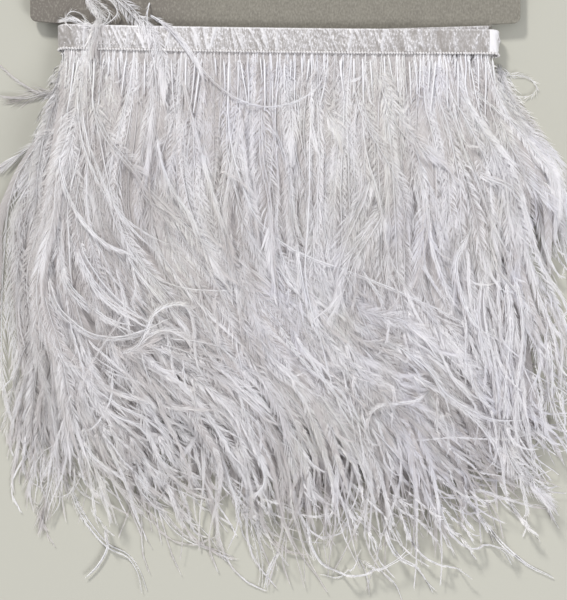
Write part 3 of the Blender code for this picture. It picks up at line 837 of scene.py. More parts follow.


# single flues and small bundles that lie over the rest, from the photograph
# each row: kind, flues, half width in mm, and its course in the photograph's pixels

laidFlues = [
    ("veil", 4, 1.6, (84, -6), (92, 4), (99, 12), (98, 26), (94, 40), (92, 56)),
    ("strand", 1, 0.4, (90, -4), (102, 4), (109, 12), (107, 20), (98, 27), (88, 26)),
    ("wisp", 2, 0.8, (98, 30), (86, 25), (75, 21), (62, 19)),
    ("veil", 3, 1.3, (110, -8), (124, 4), (136, 16), (147, 29), (155, 42), (160, 58), (163, 80), (162, 104)),
    ("strand", 1, 0.3, (150, 14), (165, 24), (179, 38), (190, 52), (204, 72), (224, 92), (250, 105),
        (280, 107), (304, 99), (322, 85), (331, 70)),
    ("strand", 1, 0.2, (149, 2), (147, 14), (148, 26)),
    ("strand", 1, 0.3, (500, 70), (514, 73), (526, 74), (535, 79), (539, 86), (534, 93), (523, 95),
        (511, 90)),
    ("veil", 3, 2.2, (62, 58), (57, 82), (49, 106), (41, 135), (36, 168), (34, 205), (33, 240), (36, 278)),
    ("strand", 2, 1.0, (60, 140), (64, 176), (74, 204), (90, 228), (108, 245), (128, 255), (142, 264)),
    ("strand", 2, 1.6, (79, 70), (82, 110), (88, 142), (99, 172), (110, 196), (124, 218), (142, 238),
        (162, 260)),
    ("fan", 2, 1.8, (92, 92), (102, 124), (114, 146), (127, 160), (142, 178), (154, 195), (170, 210),
        (190, 230)),
    ("strand", 1, 0.4, (111, 56), (103, 72), (104, 94), (111, 112), (121, 127)),
    ("veil", 3, 1.4, (150, 44), (154, 62), (156, 84), (157, 112), (154, 142), (151, 172), (149, 202)),
    ("strand", 2, 0.8, (157, 128), (162, 160), (168, 180), (176, 196), (188, 213), (199, 233), (207, 256)),
    ("fan", 2, 1.6, (138, 172), (150, 202), (166, 213), (184, 224), (200, 242), (214, 263), (228, 284)),
    ("strand", 2, 1.2, (180, 60), (187, 95), (196, 130), (204, 160), (213, 190), (222, 222), (232, 252)),
    ("wisp", 1, 0.3, (220, 172), (232, 178), (241, 184), (249, 192)),
    ("fan", 3, 2.4, (262, 92), (262, 130), (264, 165), (270, 195), (273, 225), (272, 255), (277, 290)),
    ("strand", 1, 0.4, (242, 108), (243, 140), (246, 172), (252, 202), (258, 232), (262, 262)),
    ("fan", 2, 1.4, (283, 58), (288, 88), (291, 122), (291, 160)),
    ("strand", 1, 0.3, (310, 84), (312, 122), (315, 158)),
    ("strand", 1, 0.3, (299, 112), (302, 136), (306, 160)),
    ("fan", 2, 1.2, (322, 60), (318, 84), (326, 110), (336, 132), (341, 150)),
    ("fan", 2, 1.6, (352, 76), (358, 102), (368, 129), (381, 152), (393, 174), (401, 198), (406, 228),
        (409, 258)),
    ("fan", 3, 2.2, (373, 62), (384, 92), (394, 117), (408, 139), (424, 153), (439, 166), (448, 182)),
    ("strand", 2, 0.8, (452, 96), (458, 128), (466, 146), (478, 150)),
    ("strand", 2, 1.2, (466, 168), (485, 180), (505, 188), (518, 202), (525, 224), (531, 248), (542, 272)),
    ("veil", 4, 2.4, (501, 62), (508, 92), (521, 116), (537, 140), (549, 170), (557, 200), (566, 230),
        (576, 262)),
    ("strand", 1, 0.3, (466, 82), (485, 102), (505, 118), (524, 129), (541, 145)),
    ("fan", 2, 1.6, (498, 116), (504, 146), (515, 167), (529, 186), (546, 202), (560, 218)),
    ("fan", 3, 2.0, (369, 176), (362, 200), (352, 223), (342, 246), (337, 268), (334, 292)),
    ("fan", 2, 1.8, (386, 198), (376, 220), (363, 241), (351, 262), (343, 285), (335, 304), (324, 318)),
    ("strand", 1, 0.3, (360, 168), (359, 192), (351, 214), (342, 236)),
    ("strand", 2, 0.8, (296, 240), (300, 270), (306, 300), (313, 322), (324, 338)),
    ("fan", 2, 1.4, (424, 196), (424, 220), (419, 246), (416, 272), (411, 294)),
    ("strand", 2, 0.8, (470, 226), (461, 244), (453, 262), (455, 284), (462, 306), (473, 326), (486, 338)),
    ("strand", 3, 1.8, (488, 262), (479, 296), (480, 325), (487, 352), (493, 384), (497, 414), (499, 446)),
    ("strand", 8, 4.0, (500, 258), (508, 292), (512, 328), (510, 362), (507, 394), (508, 424), (515, 452),
        (531, 476)),
    ("strand", 2, 1.0, (487, 246), (494, 270), (506, 286), (517, 300), (530, 314), (541, 319)),
    ("veil", 2, 1.4, (350, 306), (374, 314), (398, 320), (418, 332), (432, 346), (448, 354)),
    ("strand", 2, 1.0, (440, 318), (456, 340), (467, 364), (472, 386), (484, 402), (497, 410)),
    ("strand", 2, 1.2, (384, 338), (410, 354), (430, 371), (442, 390), (458, 402), (480, 414), (515, 421)),
    ("strand", 2, 0.5, (428, 390), (414, 399), (396, 402), (380, 404), (370, 411), (366, 423), (367, 437)),
    ("hair", 1, 0.4, (405, 440), (425, 438), (450, 436), (480, 437), (510, 440), (532, 439)),
    ("strand", 2, 0.5, (239, 346), (242, 366), (250, 384), (261, 398), (272, 414)),
    ("strand", 2, 0.4, (206, 266), (217, 274), (226, 283), (234, 296)),
    ("strand", 2, 0.6, (124, 246), (133, 262), (145, 279), (158, 293), (170, 306)),
    ("strand", 1, 0.3, (134, 262), (139, 284), (137, 304), (141, 313)),
    ("strand", 2, 0.6, (107, 342), (114, 349), (128, 352), (141, 345), (149, 329), (157, 314), (170, 306),
        (186, 305), (194, 318), (197, 340), (199, 362), (205, 378)),
    ("wisp", 2, 1.4, (140, 346), (152, 334), (166, 330), (182, 334), (196, 344)),
    ("hair", 1, 0.3, (133, 298), (122, 322), (108, 342), (96, 362), (86, 385), (82, 402), (87, 420),
        (95, 433)),
    ("strand", 1, 0.3, (111, 356), (116, 378), (113, 399), (105, 415), (94, 427), (86, 429)),
    ("veil", 4, 3.4, (44, 226), (41, 258), (44, 290), (52, 320), (61, 346), (66, 376), (70, 406),
        (75, 438), (81, 470)),
    ("strand", 2, 1.6, (50, 262), (54, 288), (62, 308), (76, 322), (94, 334), (120, 338), (148, 332),
        (172, 322)),
    ("strand", 3, 2.2, (78, 236), (88, 262), (102, 284), (118, 300), (136, 312), (158, 322)),
    ("strand", 3, 2.0, (64, 262), (76, 288), (94, 306), (114, 320), (134, 330)),
    ("shadow", 2, 1.6, (108, 340), (124, 347), (142, 346), (156, 338)),
    ("wisp", 2, 0.8, (132, 390), (150, 399), (172, 404), (195, 406), (214, 409)),
    ("wisp", 2, 0.6, (92, 374), (110, 386), (130, 395), (152, 402), (170, 414)),
    ("strand", 2, 1.2, (98, 398), (118, 414), (138, 423), (150, 436), (160, 456), (174, 470), (184, 476)),
    ("strand", 1, 0.3, (99, 422), (113, 427), (122, 440), (126, 455), (124, 467)),
    ("strand", 2, 0.8, (82, 434), (93, 452), (108, 466), (123, 476)),
    ("veil", 2, 1.6, (128, 462), (140, 488), (156, 508), (172, 528), (192, 544), (214, 553), (232, 559)),
    ("strand", 1, 0.3, (168, 502), (184, 514), (199, 529), (214, 546), (222, 556)),
    ("veil", 3, 2.2, (200, 446), (222, 478), (243, 506), (262, 530), (276, 548), (288, 566)),
    ("strand", 2, 0.8, (250, 440), (262, 462), (264, 482), (252, 500)),
    ("fan", 2, 1.4, (240, 506), (254, 534), (260, 560), (262, 588)),
    ("strand", 2, 0.6, (280, 552), (271, 568), (264, 590)),
    ("strand", 2, 0.8, (306, 520), (311, 546), (322, 565), (342, 576), (366, 576), (390, 565), (408, 552)),
    ("strand", 1, 0.3, (362, 552), (352, 570), (340, 580), (322, 577)),
    ("strand", 1, 0.3, (356, 556), (366, 574), (371, 598)),
    ("strand", 1, 0.3, (360, 562), (380, 572), (397, 588), (406, 602)),
    ("strand", 2, 1.0, (384, 516), (388, 540), (399, 558), (416, 568), (428, 584), (434, 594)),
    ("strand", 2, 1.0, (404, 520), (411, 542), (424, 558), (444, 567), (462, 572), (472, 578)),
    ("strand", 2, 0.5, (428, 456), (436, 492), (445, 520), (456, 539), (471, 549), (490, 548), (505, 552),
        (512, 563)),
    ("strand", 2, 0.8, (484, 520), (502, 544), (520, 560), (538, 572), (556, 578)),
    ("veil", 3, 2.0, (502, 440), (516, 466), (532, 484), (547, 499), (556, 516)),
    ("strand", 1, 0.4, (542, 344), (535, 372), (528, 394), (536, 410)),
    ("strand", 2, 1.2, (545, 330), (548, 366), (551, 398), (561, 424), (574, 444)),
    ("strand", 1, 0.4, (520, 400), (529, 424), (545, 438), (566, 446)),
    ("strand", 2, 0.8, (66, 486), (78, 512), (92, 532), (108, 549), (126, 558), (136, 570), (145, 592)),
    ("strand", 2, 0.5, (104, 528), (106, 548), (98, 566), (86, 581)),
    ("veil", 2, 1.2, (50, 446), (49, 474), (44, 500), (38, 530)),
    ("veil", 3, 2.6, (48, 296), (40, 336), (34, 376), (30, 416), (24, 452)),
    ("veil", 2, 1.0, (524, 290), (530, 322), (536, 350), (544, 372)),
    ("strand", 1, 0.4, (58, 95), (44, 93), (26, 86), (10, 75), (-6, 60)),
    ("shadow", 2, 0.8, (52, 88), (40, 91), (26, 95), (8, 97)),
    ("fan", 2, 1.0, (499, 62), (504, 84), (512, 104), (521, 124), (532, 146), (545, 170)),
    ("fan", 1, 0.4, (503, 70), (512, 90), (523, 110), (536, 128), (549, 152)),
    ("fan", 2, 1.0, (60, 64), (54, 88), (47, 112), (41, 142)),
    ("fan", 1, 0.4, (34, 150), (26, 176), (20, 204), (18, 236)),
    ("fan", 1, 0.4, (540, 180), (550, 206), (560, 236), (568, 262)),
    ("fan", 2, 0.8, (60, 128), (36, 142), (16, 154), (-4, 168)),
    ("strand", 2, 1.4, (52, 150), (30, 170), (12, 192), (-2, 214)),
    ("wisp", 2, 0.9, (150, 14), (165, 24), (179, 38), (190, 52), (200, 68), (207, 86)),
    ("strand", 1, 0.3, (97, -5), (112, 2), (117, 12), (108, 22), (94, 25), (84, 18)),
    ("strand", 1, 0.3, (72, 30), (64, 20), (70, 11), (82, 14), (88, 26)),
]


def pileTree():
    # everything packed, to find how high the pile stands at a place
    points, faces = [], []
    for node in frame["nodes"].values():
        start = len(points)
        points += [v.co[:] for v in node.data.vertices]
        faces += [[v + start for v in p.vertices] for p in node.data.polygons]
    return BVHTree.FromPolygons(points, faces)


def pileHeights(tree, path):
    hits = (tree.ray_cast(Vector((x, y, 0.1)), Vector((0, 0, -1)))[0] for x, y in path)
    heights = np.array([hit.z if hit else 0.0 for hit in hits])
    padded = np.pad(heights, 2, mode="edge")
    near = np.stack([padded[i : i + len(heights)] for i in range(5)])
    return 0.5 * near.max(axis=0) + 0.5 * near.mean(axis=0)


# broad sweeps of single wisps: guide lines side by side in the photograph's pixels,
# each with as many points as its neighbours, so that a wisp can run anywhere between two

sweeps = [
    {
        "wisps": 44,
        "kinds": ("veil", "veil", "fan"),
        "wander": (4, 12),
        "sink": (-2.6, -1.0),
        "tone": 0.6,
        "guides": [
            [(34, 320), (20, 380), (8, 430), (0, 470), (-4, 505)],
            [(60, 345), (70, 390), (84, 430), (100, 480), (116, 520)],
            [(84, 340), (108, 385), (140, 430), (172, 470), (200, 520)],
            [(120, 335), (164, 375), (206, 415), (246, 460), (282, 520)],
            [(170, 320), (222, 360), (270, 400), (312, 450), (350, 520)],
        ],
    },
    {
        "wisps": 110,
        "kinds": ("wisp", "wisp", "wisp", "veil", "strand"),
        "wander": (4, 13),
        "sink": (-1.4, 0.5),
        "tone": 0.5,
        "guides": [
            [(42, 300), (24, 345), (8, 390), (-4, 430), (-10, 468)],
            [(50, 310), (38, 360), (30, 410), (20, 460), (10, 500)],
            [(58, 320), (55, 375), (52, 430), (50, 478), (42, 522)],
            [(66, 325), (72, 380), (82, 432), (92, 484), (102, 534)],
            [(76, 330), (98, 382), (126, 428), (154, 480), (184, 545)],
            [(92, 332), (134, 368), (178, 408), (216, 462), (250, 548)],
            [(110, 336), (164, 358), (216, 392), (262, 448), (294, 552)],
            [(140, 330), (204, 340), (262, 372), (306, 440), (330, 556)],
        ],
    },
    {
        "wisps": 44,
        "kinds": ("wisp", "veil", "veil", "fan", "strand"),
        "wander": (7, 22),
        "sink": (-1.4, 0.5),
        "tone": -0.5,
        "guides": [
            [(150, 230), (168, 290), (198, 350), (236, 410), (270, 470), (292, 550)],
            [(200, 200), (214, 270), (238, 340), (274, 400), (310, 470), (332, 560)],
            [(245, 190), (252, 270), (272, 340), (316, 400), (360, 465), (390, 560)],
            [(290, 180), (294, 270), (316, 335), (366, 385), (420, 440), (462, 540)],
            [(340, 170), (337, 260), (352, 320), (404, 360), (462, 405), (520, 500)],
        ],
    },
    {
        "wisps": 50,
        "kinds": ("wisp", "veil", "strand", "fan", "wisp"),
        "wander": (6, 18),
        "sink": (-1.4, 0.5),
        "tone": 1.2,
        "guides": [
            [(380, 150), (392, 230), (405, 300), (440, 350), (486, 400), (520, 470)],
            [(430, 140), (440, 220), (452, 290), (478, 350), (500, 410), (526, 480)],
            [(470, 130), (482, 210), (490, 290), (498, 350), (506, 420), (528, 490)],
            [(500, 110), (512, 190), (516, 270), (514, 350), (512, 430), (532, 490)],
        ],
    },
    {
        "wisps": 34,
        "kinds": ("strand", "strand", "wisp"),
        "wander": (4, 12),
        "sink": (-0.2, 1.2),
        "tone": 2.0,
        "guides": [
            [(376, 330), (414, 352), (452, 378), (486, 404), (520, 424)],
            [(430, 296), (456, 338), (478, 380), (496, 420), (512, 462)],
            [(482, 268), (488, 320), (495, 372), (500, 424), (508, 476)],
            [(506, 256), (510, 316), (509, 376), (510, 430), (526, 480)],
        ],
    },
    {
        "wisps": 13,
        "kinds": ("wisp", "strand", "hair"),
        "wander": (8, 20),
        "sink": (-2.0, 0.6),
        "tone": 0.6,
        "guides": [
            [(518, 290), (526, 340), (532, 390), (538, 440), (550, 470)],
            [(532, 280), (543, 330), (550, 380), (556, 430), (568, 462)],
            [(546, 270), (560, 320), (566, 370), (570, 420), (576, 456)],
        ],
    },
    {
        "wisps": 26,
        "kinds": ("strand", "wisp", "strand"),
        "wander": (5, 14),
        "sink": (-0.4, 1.0),
        "tone": 1.4,
        "guides": [
            [(92, 352), (130, 376), (170, 396), (214, 412), (258, 440)],
            [(84, 372), (114, 402), (146, 428), (172, 462), (206, 500)],
            [(80, 392), (98, 424), (118, 452), (140, 488), (158, 520)],
        ],
    },
]


def laidPath(tree, flat, dice, sink, tuck=4.0 * mm):
    # on top of the pile, its start tucked under
    s = np.linspace(0, 1, len(flat))
    top = pileHeights(tree, flat) + dice.uniform(*sink) * mm * ease(0, 0.16, s)
    top -= tuck * (1 - ease(0, 0.16, s))
    top = turnBack(np.maximum(top, 0.7 * mm), cadHigh[2] + 1.0 * mm, 1, 3 * mm)
    return np.column_stack([flat, top])


handLook = {
    # heights in the photograph, in its pixels
    "overCard": 40,  # a row that begins above it lies over the tape and the card
    "fromTape": 60,  # a row that begins above it is as thick there as below
    "atBottom": 540,  # a row that ends below it has short barbules
    "wander": (1, 4),
    "hook": (0, 12),
    "tones": {"strand": 1.6, "shadow": -3.5},
    "otherTone": 0.5,
    "singleTone": 0.2,
    "brighterOverCard": 1.5,
}


def byHand(tree):
    # the flues drawn one by one or in small bundles
    look = handLook
    for index, (kind, flues, width, *points) in enumerate(laidFlues):
        dice = np.random.default_rng([seeds["byHand"], index])
        line = splineThrough([fromPhoto(*p) for p in points], plumeLook["stemPoints"])
        s = np.linspace(0, 1, len(line))
        tangent = unit(np.gradient(line, axis=0))
        side = np.column_stack([tangent[:, 1], -tangent[:, 0]])
        spread = 0.35 + 0.65 * np.sin(np.pi * np.clip(s * 1.1 + 0.1, 0, 1)) + 0.3 * s
        single = kind == "strand" and flues == 1
        overCard = points[0][1] < look["overCard"]
        sink, tuck = ((1.2, 2.0), -0.4 * mm) if overCard else ((-0.4, 1.4), 4.0 * mm)
        tone = look["tones"].get(kind, look["otherTone"]) + (look["brighterOverCard"] if overCard else 0.0)
        for flue in range(flues):
            manner = flueManner(dice, kind)
            wander = math.radians(dice.uniform(*look["wander"]))
            manner.update(wander=wander, bias=0.0, reach=1.0, bare=1 * mm, fan=0.0, ruffled=0.3)
            manner["hook"] = math.radians(dice.normal(*look["hook"]))
            manner["thinStart"] = 0.0 if points[0][1] < look["fromTape"] else 0.7
            if points[-1][1] > look["atBottom"]:
                manner.update(length=0.4, coarse=1.2, closedAngle=math.radians(6.0))
            else:
                manner["length"] *= 1.25
            if single:
                manner["stem"] *= 0.6
            if single and overCard:
                manner.update(stem=1.4 * manner["stem"], length=0.7 * manner["length"])
            aside = (2 * (flue + 0.5) / flues - 1) * 0.8 + dice.normal(0, 0.2)
            beside = line + side * (aside * width * mm * spread)[:, None]
            path = laidPath(tree, beside, dice, sink, tuck)
            yield path, dice, manner, look["singleTone"] if single else tone


sweepLook = {
    "begin": (0.0, 0.6),  # shares of the guide lines' length
    "cover": (0.3, 0.6),
    "bias": (0, 7),  # degrees, mean and spread
    "hook": (22, 28),
    "stem": 0.8,
    "toneSpread": 0.8,
}


def bySweep(tree):
    # wisps that follow the guide lines of a sweep, each along a part of their length
    look = sweepLook
    for number, sweep in enumerate(sweeps):
        guides = np.array([[fromPhoto(*p) for p in guide] for guide in sweep["guides"]])
        places = (np.arange(sweep["wisps"]) + 0.5) / sweep["wisps"] * (len(guides) - 1)
        for wisp, place in enumerate(places):
            dice = np.random.default_rng([seeds["sweeps"], number, wisp])
            left = min(int(place), len(guides) - 2)
            line = splineThrough(guides[left] + (guides[left + 1] - guides[left]) * (place - left), 60)
            begin = dice.uniform(*look["begin"])
            end = min(1.0, begin + dice.uniform(*look["cover"]))
            keep = np.linspace(begin, end, plumeLook["stemPoints"]) * (len(line) - 1)
            line = readAlong(line, np.arange(len(line)), keep)
            manner = flueManner(dice, dice.choice(sweep["kinds"]))
            wander = math.radians(dice.uniform(*sweep["wander"]))
            manner.update(wander=wander, reach=1.0, bare=1 * mm, thinStart=0.7)
            manner["bias"] = math.radians(dice.normal(*look["bias"]))
            manner["hook"] = math.radians(dice.normal(*look["hook"]))
            manner["stem"] *= look["stem"]
            path = laidPath(tree, line, dice, sweep["sink"])
            yield path, dice, manner, dice.normal(sweep["tone"], look["toneSpread"])


# short flues: curls over the rest, flues that fill the places between the quills close to
# the tape, and bright quills on them. They begin at "across" and "down", in the photograph's
# pixels; "hook" and "tone" are a mean and a spread, "turn" is a spread, other pairs are limits

curls = {
    "count": 150,
    "kinds": ("strand", "strand", "wisp"),
    "across": (24, 528),
    "down": (140, 520),
    "lean": (8, 26),  # degrees to the right, and how much more at the bottom
    "leanFrom": (50, 130),  # where that more sets in, in pixels from the left
    "length": (11 * mm, 32 * mm),
    "turn": 14,
    "wander": (6, 20),
    "hook": (8, 34),
    "hookFrom": (0.1, 0.6),
    "bare": 1.0 * mm,
    "barbs": 0.8,
    "stem": 0.7,
    "sink": (-0.9, 0.9),
    "tuck": 2.0 * mm,
    "tone": (0.9, 0.8),
}
underTape = [
    {
        "count": 150,
        "kinds": ("fan", "veil", "fan", "wisp"),
        "across": (62, 494),
        "down": (56, 68),
        "length": (9 * mm, 20 * mm),
        "turn": 16,
        "wander": (8, 24),
        "hook": (0, 40),
        "bare": 0.5 * mm,
        "barbs": 0.7,
        "stem": 0.5,
        "sink": (-1.2, 0.2),
        "tuck": 1.0 * mm,
        "tone": (0.0, 1.4),
    },
    {
        "count": 56,
        "kinds": ("strand",),
        "across": (62, 494),
        "down": (54, 58),
        "length": (8 * mm, 24 * mm),
        "turn": 4,
        "wander": (1, 4),
        "hook": (0, 8),
        "bare": 6.0 * mm,
        "barbs": 0.3,
        "stem": 1.5,
        "sink": (0.0, 0.6),
        "tuck": 1.0 * mm,
        "tone": (2.6, 0.5),
    },
]


def shortFlue(tree, sort, dice, px, py, lean=0.0):
    heading = math.radians(dice.normal(lean, sort["turn"]))
    s = np.linspace(0, 1, plumeLook["stemPoints"])[:, None]
    way = np.array([[math.sin(heading), -math.cos(heading)]])
    line = np.array([fromPhoto(px, py)]) + s * dice.uniform(*sort["length"]) * way
    manner = flueManner(dice, dice.choice(sort["kinds"]))
    wander = math.radians(dice.uniform(*sort["wander"]))
    manner.update(wander=wander, reach=1.0, bare=sort["bare"], thinStart=0.7, bias=0.0)
    manner["hook"] = math.radians(dice.normal(*sort["hook"]))
    if "hookFrom" in sort:
        manner["hookFrom"] = dice.uniform(*sort["hookFrom"])
    manner["length"] *= sort["barbs"]
    manner["stem"] *= sort["stem"]
    return laidPath(tree, line, dice, sort["sink"], sort["tuck"]), dice, manner, dice.normal(*sort["tone"])


def byChance(tree):
    # along the flow of the rest, which leans to the right lower down, or a little across it
    top, bottom = curls["down"]
    lean, more = curls["lean"]
    for curl in range(curls["count"]):
        dice = np.random.default_rng([seeds["curls"], curl])
        px = dice.uniform(*curls["across"])
        share = math.sqrt(dice.uniform(0.1, 1.0))
        leaning = lean + more * share * ease(*curls["leanFrom"], px)
        yield shortFlue(tree, curls, dice, px, top + share * (bottom - top), leaning)


def betweenQuills(tree):
    for number, sort in enumerate(underTape):
        first, last = sort["across"]
        for flue in range(sort["count"]):
            dice = np.random.default_rng([seeds["underTape"] + number, flue])
            px = first + (last - first) * (flue + dice.uniform()) / sort["count"]
            yield shortFlue(tree, sort, dice, px, dice.uniform(*sort["down"]))


def layFlues(material, pieces=8):
    # dealt out over a few pieces, so that none grows too heavy
    tree = pileTree()
    dealt = [[] for _ in range(pieces)]
    laid = [*byHand(tree), *bySweep(tree), *byChance(tree), *betweenQuills(tree)]
    for number, (path, dice, manner, tone) in enumerate(laid):
        path = bendPath(path, dice, manner["wander"], manner["hook"], manner["hookFrom"], manner["bias"])
        dealt[number % pieces].append(growFlue(path, dice, "front", manner, tone))
    total = 0
    for number, parts in enumerate(dealt):
        verts, faces, tones, stems = joinParts(parts)[:4]
        values = {"tone": tones, "stem": stems}
        piece = meshFromArrays(f"loose_flues_{number + 1}", verts, faces, values, material)
        finishPiece(piece, "ostrich_plume")
        total += len(faces)
    print("loose flues:", len(laid), "laid over the rest,", total, "triangles")


# the tape

tapeLook = {
    "width": 9.3 * mm,
    "thick": 1.0 * mm,
    "foldRadius": 0.45 * mm,
    "halfRun": 88.6 * mm,
    "innerEndX": 84.2 * mm,
    "outerEndX": 80.0 * mm,
    "heights": {"rear": 0.5 * mm, "back": 1.8 * mm, "inner": 5.4 * mm, "front": 6.7 * mm},
    # how far each run strays up the card: at its left end, its middle and its right end
    "sway": {
        "rear": (0.9 * mm, 0.3 * mm, 0.0),
        "back": (-0.6 * mm, 0.0, -1.3 * mm),
        "inner": (-0.2 * mm, -0.6 * mm, 1.4 * mm),
        "front": (1.8 * mm, 0.2 * mm, -0.4 * mm),
    },
    "frontPoints": 640,
    "otherPoints": 76,
    "rowsUp": 19,
    "turnPoints": 16,
    "puckerEvery": 1.9 * mm,
    "puckerHeight": 1.1 * mm,
    "puckerWidth": 0.62 * mm,
    "puckerReaches": 9 * mm,
    "puckerLean": (0.2, 0.25),
    "creases": 1700,
    "creaseHeight": 0.32 * mm,
    "creaseSize": (0.42 * mm, 1.3 * mm),
    "creaseReaches": 4 * mm,
    "creaseTurn": (0.5, 0.6),
    # where the tape's look changes along the run: its painted shade and highlights, and the breadth of its
    # folds
    "leftTurn": (-80.0 * mm, -81.5 * mm),
    "paintedShadeRightward": (-60 * mm, 10 * mm),
    "broadFolds": (38 * mm, 52 * mm),
    "rightTurn": 84.5 * mm,
    "satin": (0.55, 0.532, 0.536),
    # painted shade and painted highlight of the satin's sheen
    "satinPaintedShade": (0.31, 0.286, 0.268),
    "satinPaintedHighlight": (0.86, 0.845, 0.86),
    "roughness": 0.36,
}


def straightRun(fromX, toX, layer, facing):
    # rows of x, height, normal x, normal z, sway, and how much it is the front run
    count = tapeLook["frontPoints"] if layer == "front" else tapeLook["otherPoints"]
    x = np.linspace(fromX, toX, count)
    left, middle, right = tapeLook["sway"][layer]
    share = x / tapeLook["halfRun"]
    sway = middle + share * (right - left) / 2 + share**2 * ((right + left) / 2 - middle)
    rows = np.zeros((count, 6))
    rows[:, 0], rows[:, 4] = x, sway
    rows[:, (1, 3, 5)] = tapeLook["heights"][layer], facing, layer == "front"
    return rows


def halfTurn(centreX, fromLayer, toLayer, side, swayFrom, swayTo):
    fromZ, toZ = tapeLook["heights"][fromLayer], tapeLook["heights"][toLayer]
    t = np.linspace(0, 1, tapeLook["turnPoints"] + 2)[1:-1]
    angle = np.pi * (t - 0.5) * np.sign(toZ - fromZ)
    radius = abs(toZ - fromZ) / 2
    nx, nz = side * np.cos(angle), np.sin(angle)
    front = np.where(nz > 0, 1.0, 0.0) * float("front" in (fromLayer, toLayer))
    sway = swayFrom + (swayTo - swayFrom) * t
    return np.column_stack([centreX + radius * nx, (fromZ + toZ) / 2 + radius * nz, nx, nz, sway, front])


def tapeRoute():
    # in front, round the left edge, behind, round the right edge, and once more
    heights, sway = tapeLook["heights"], tapeLook["sway"]
    half, thick = tapeLook["halfRun"], tapeLook["thick"]
    leftX = -(half - (heights["front"] - heights["rear"]) / 2 - thick / 2)
    rightX = half - (heights["front"] - heights["back"]) / 2 - thick / 2
    return np.vstack(
        [
            straightRun(tapeLook["innerEndX"], leftX, "inner", 1.0),
            halfTurn(leftX, "inner", "back", -1.0, sway["inner"][0], sway["back"][0]),
            straightRun(leftX, rightX, "back", -1.0),
            halfTurn(rightX, "back", "front", 1.0, sway["back"][2], sway["front"][2]),
            straightRun(rightX, leftX, "front", 1.0),
            halfTurn(leftX, "front", "rear", -1.0, sway["front"][0], sway["rear"][0]),
            straightRun(leftX, tapeLook["outerEndX"], "rear", -1.0),
        ]
    )


def flatLengths(line):
    steps = np.hypot(np.diff(line[:, 0]), np.diff(line[:, 1]))
    return np.concatenate([[0.0], np.cumsum(steps)])


def ribbonSection():
    # up and out of a folded ribbon: pinched at its sewn edge, round at its fold
    half, face, fold = tapeLook["width"] / 2, tapeLook["thick"] / 2, tapeLook["foldRadius"]
    up = np.linspace(-half, half - fold, tapeLook["rowsUp"])
    out = face * (0.74 + 0.26 * ease(-half, -half + 1.6 * mm, up)) + 0.06 * mm * np.cos(up / half * 1.3)
    out -= 0.14 * mm * np.exp(-(((up + half - 1.0 * mm) / (0.35 * mm)) ** 2))
    angle = np.radians([55.0, 20.0, -20.0, -55.0])
    turned = np.column_stack([half - fold + fold * np.cos(angle), face * np.sin(angle)])
    back = np.column_stack([np.linspace(half - fold, -half, 5), np.full(5, -face)])
    back[-1, 1] = -face * 0.74
    return np.vstack([np.column_stack([up, out]), turned, back])


def puckers(dice, along, up, x):
    # gathers that the stitching draws up: ridges over the ribbon, strongest at the sewn edge
    look = tapeLook
    total, half = along[-1], look["width"] / 2
    height = np.zeros((len(along), len(up)))
    slope = np.zeros_like(height)
    for place in np.sort(dice.uniform(0, total, int(total / look["puckerEvery"]))):
        lean = dice.normal(*look["puckerLean"])
        broad = ease(*look["broadFolds"], np.interp(place, along, x))
        width = look["puckerWidth"] * dice.uniform(0.6, 1.6) * (1 + broad)
        rise = look["puckerHeight"] * dice.uniform(-0.5, 1.0)
        reach = dice.uniform(0.2, 1.2)
        near = np.abs(along - place) < look["puckerReaches"]
        off = (along[near, None] - place - lean * (up[None, :] + half)) / width
        strength = np.clip(1.15 - (up[None, :] + half) / (2 * half) * reach, 0.12, 1.0)
        bump = rise * strength * np.exp(-(off**2))
        height[near] += bump
        slope[near] += -2 * off / width * bump
    # and short slanting creases all over the ribbon's face
    creaseWidth, creaseLength = look["creaseSize"]
    for _ in range(look["creases"]):
        place, middle = dice.uniform(0, total), dice.uniform(-half, half)
        turn = dice.normal(*look["creaseTurn"])
        near = np.abs(along - place) < look["creaseReaches"]
        lengthwise = along[near, None] - place
        rising = up[None, :] - middle
        acrossIt = (lengthwise * math.cos(turn) - rising * math.sin(turn)) / creaseWidth
        alongIt = (lengthwise * math.sin(turn) + rising * math.cos(turn)) / creaseLength
        calmer = 1 - 0.6 * ease(*look["broadFolds"], np.interp(place, along, x))
        bump = dice.uniform(-0.5, 1.0) * look["creaseHeight"] * calmer * np.exp(-(acrossIt**2) - alongIt**2)
        height[near] += bump
        slope[near] += -2 * acrossIt / creaseWidth * bump
    return height, slope


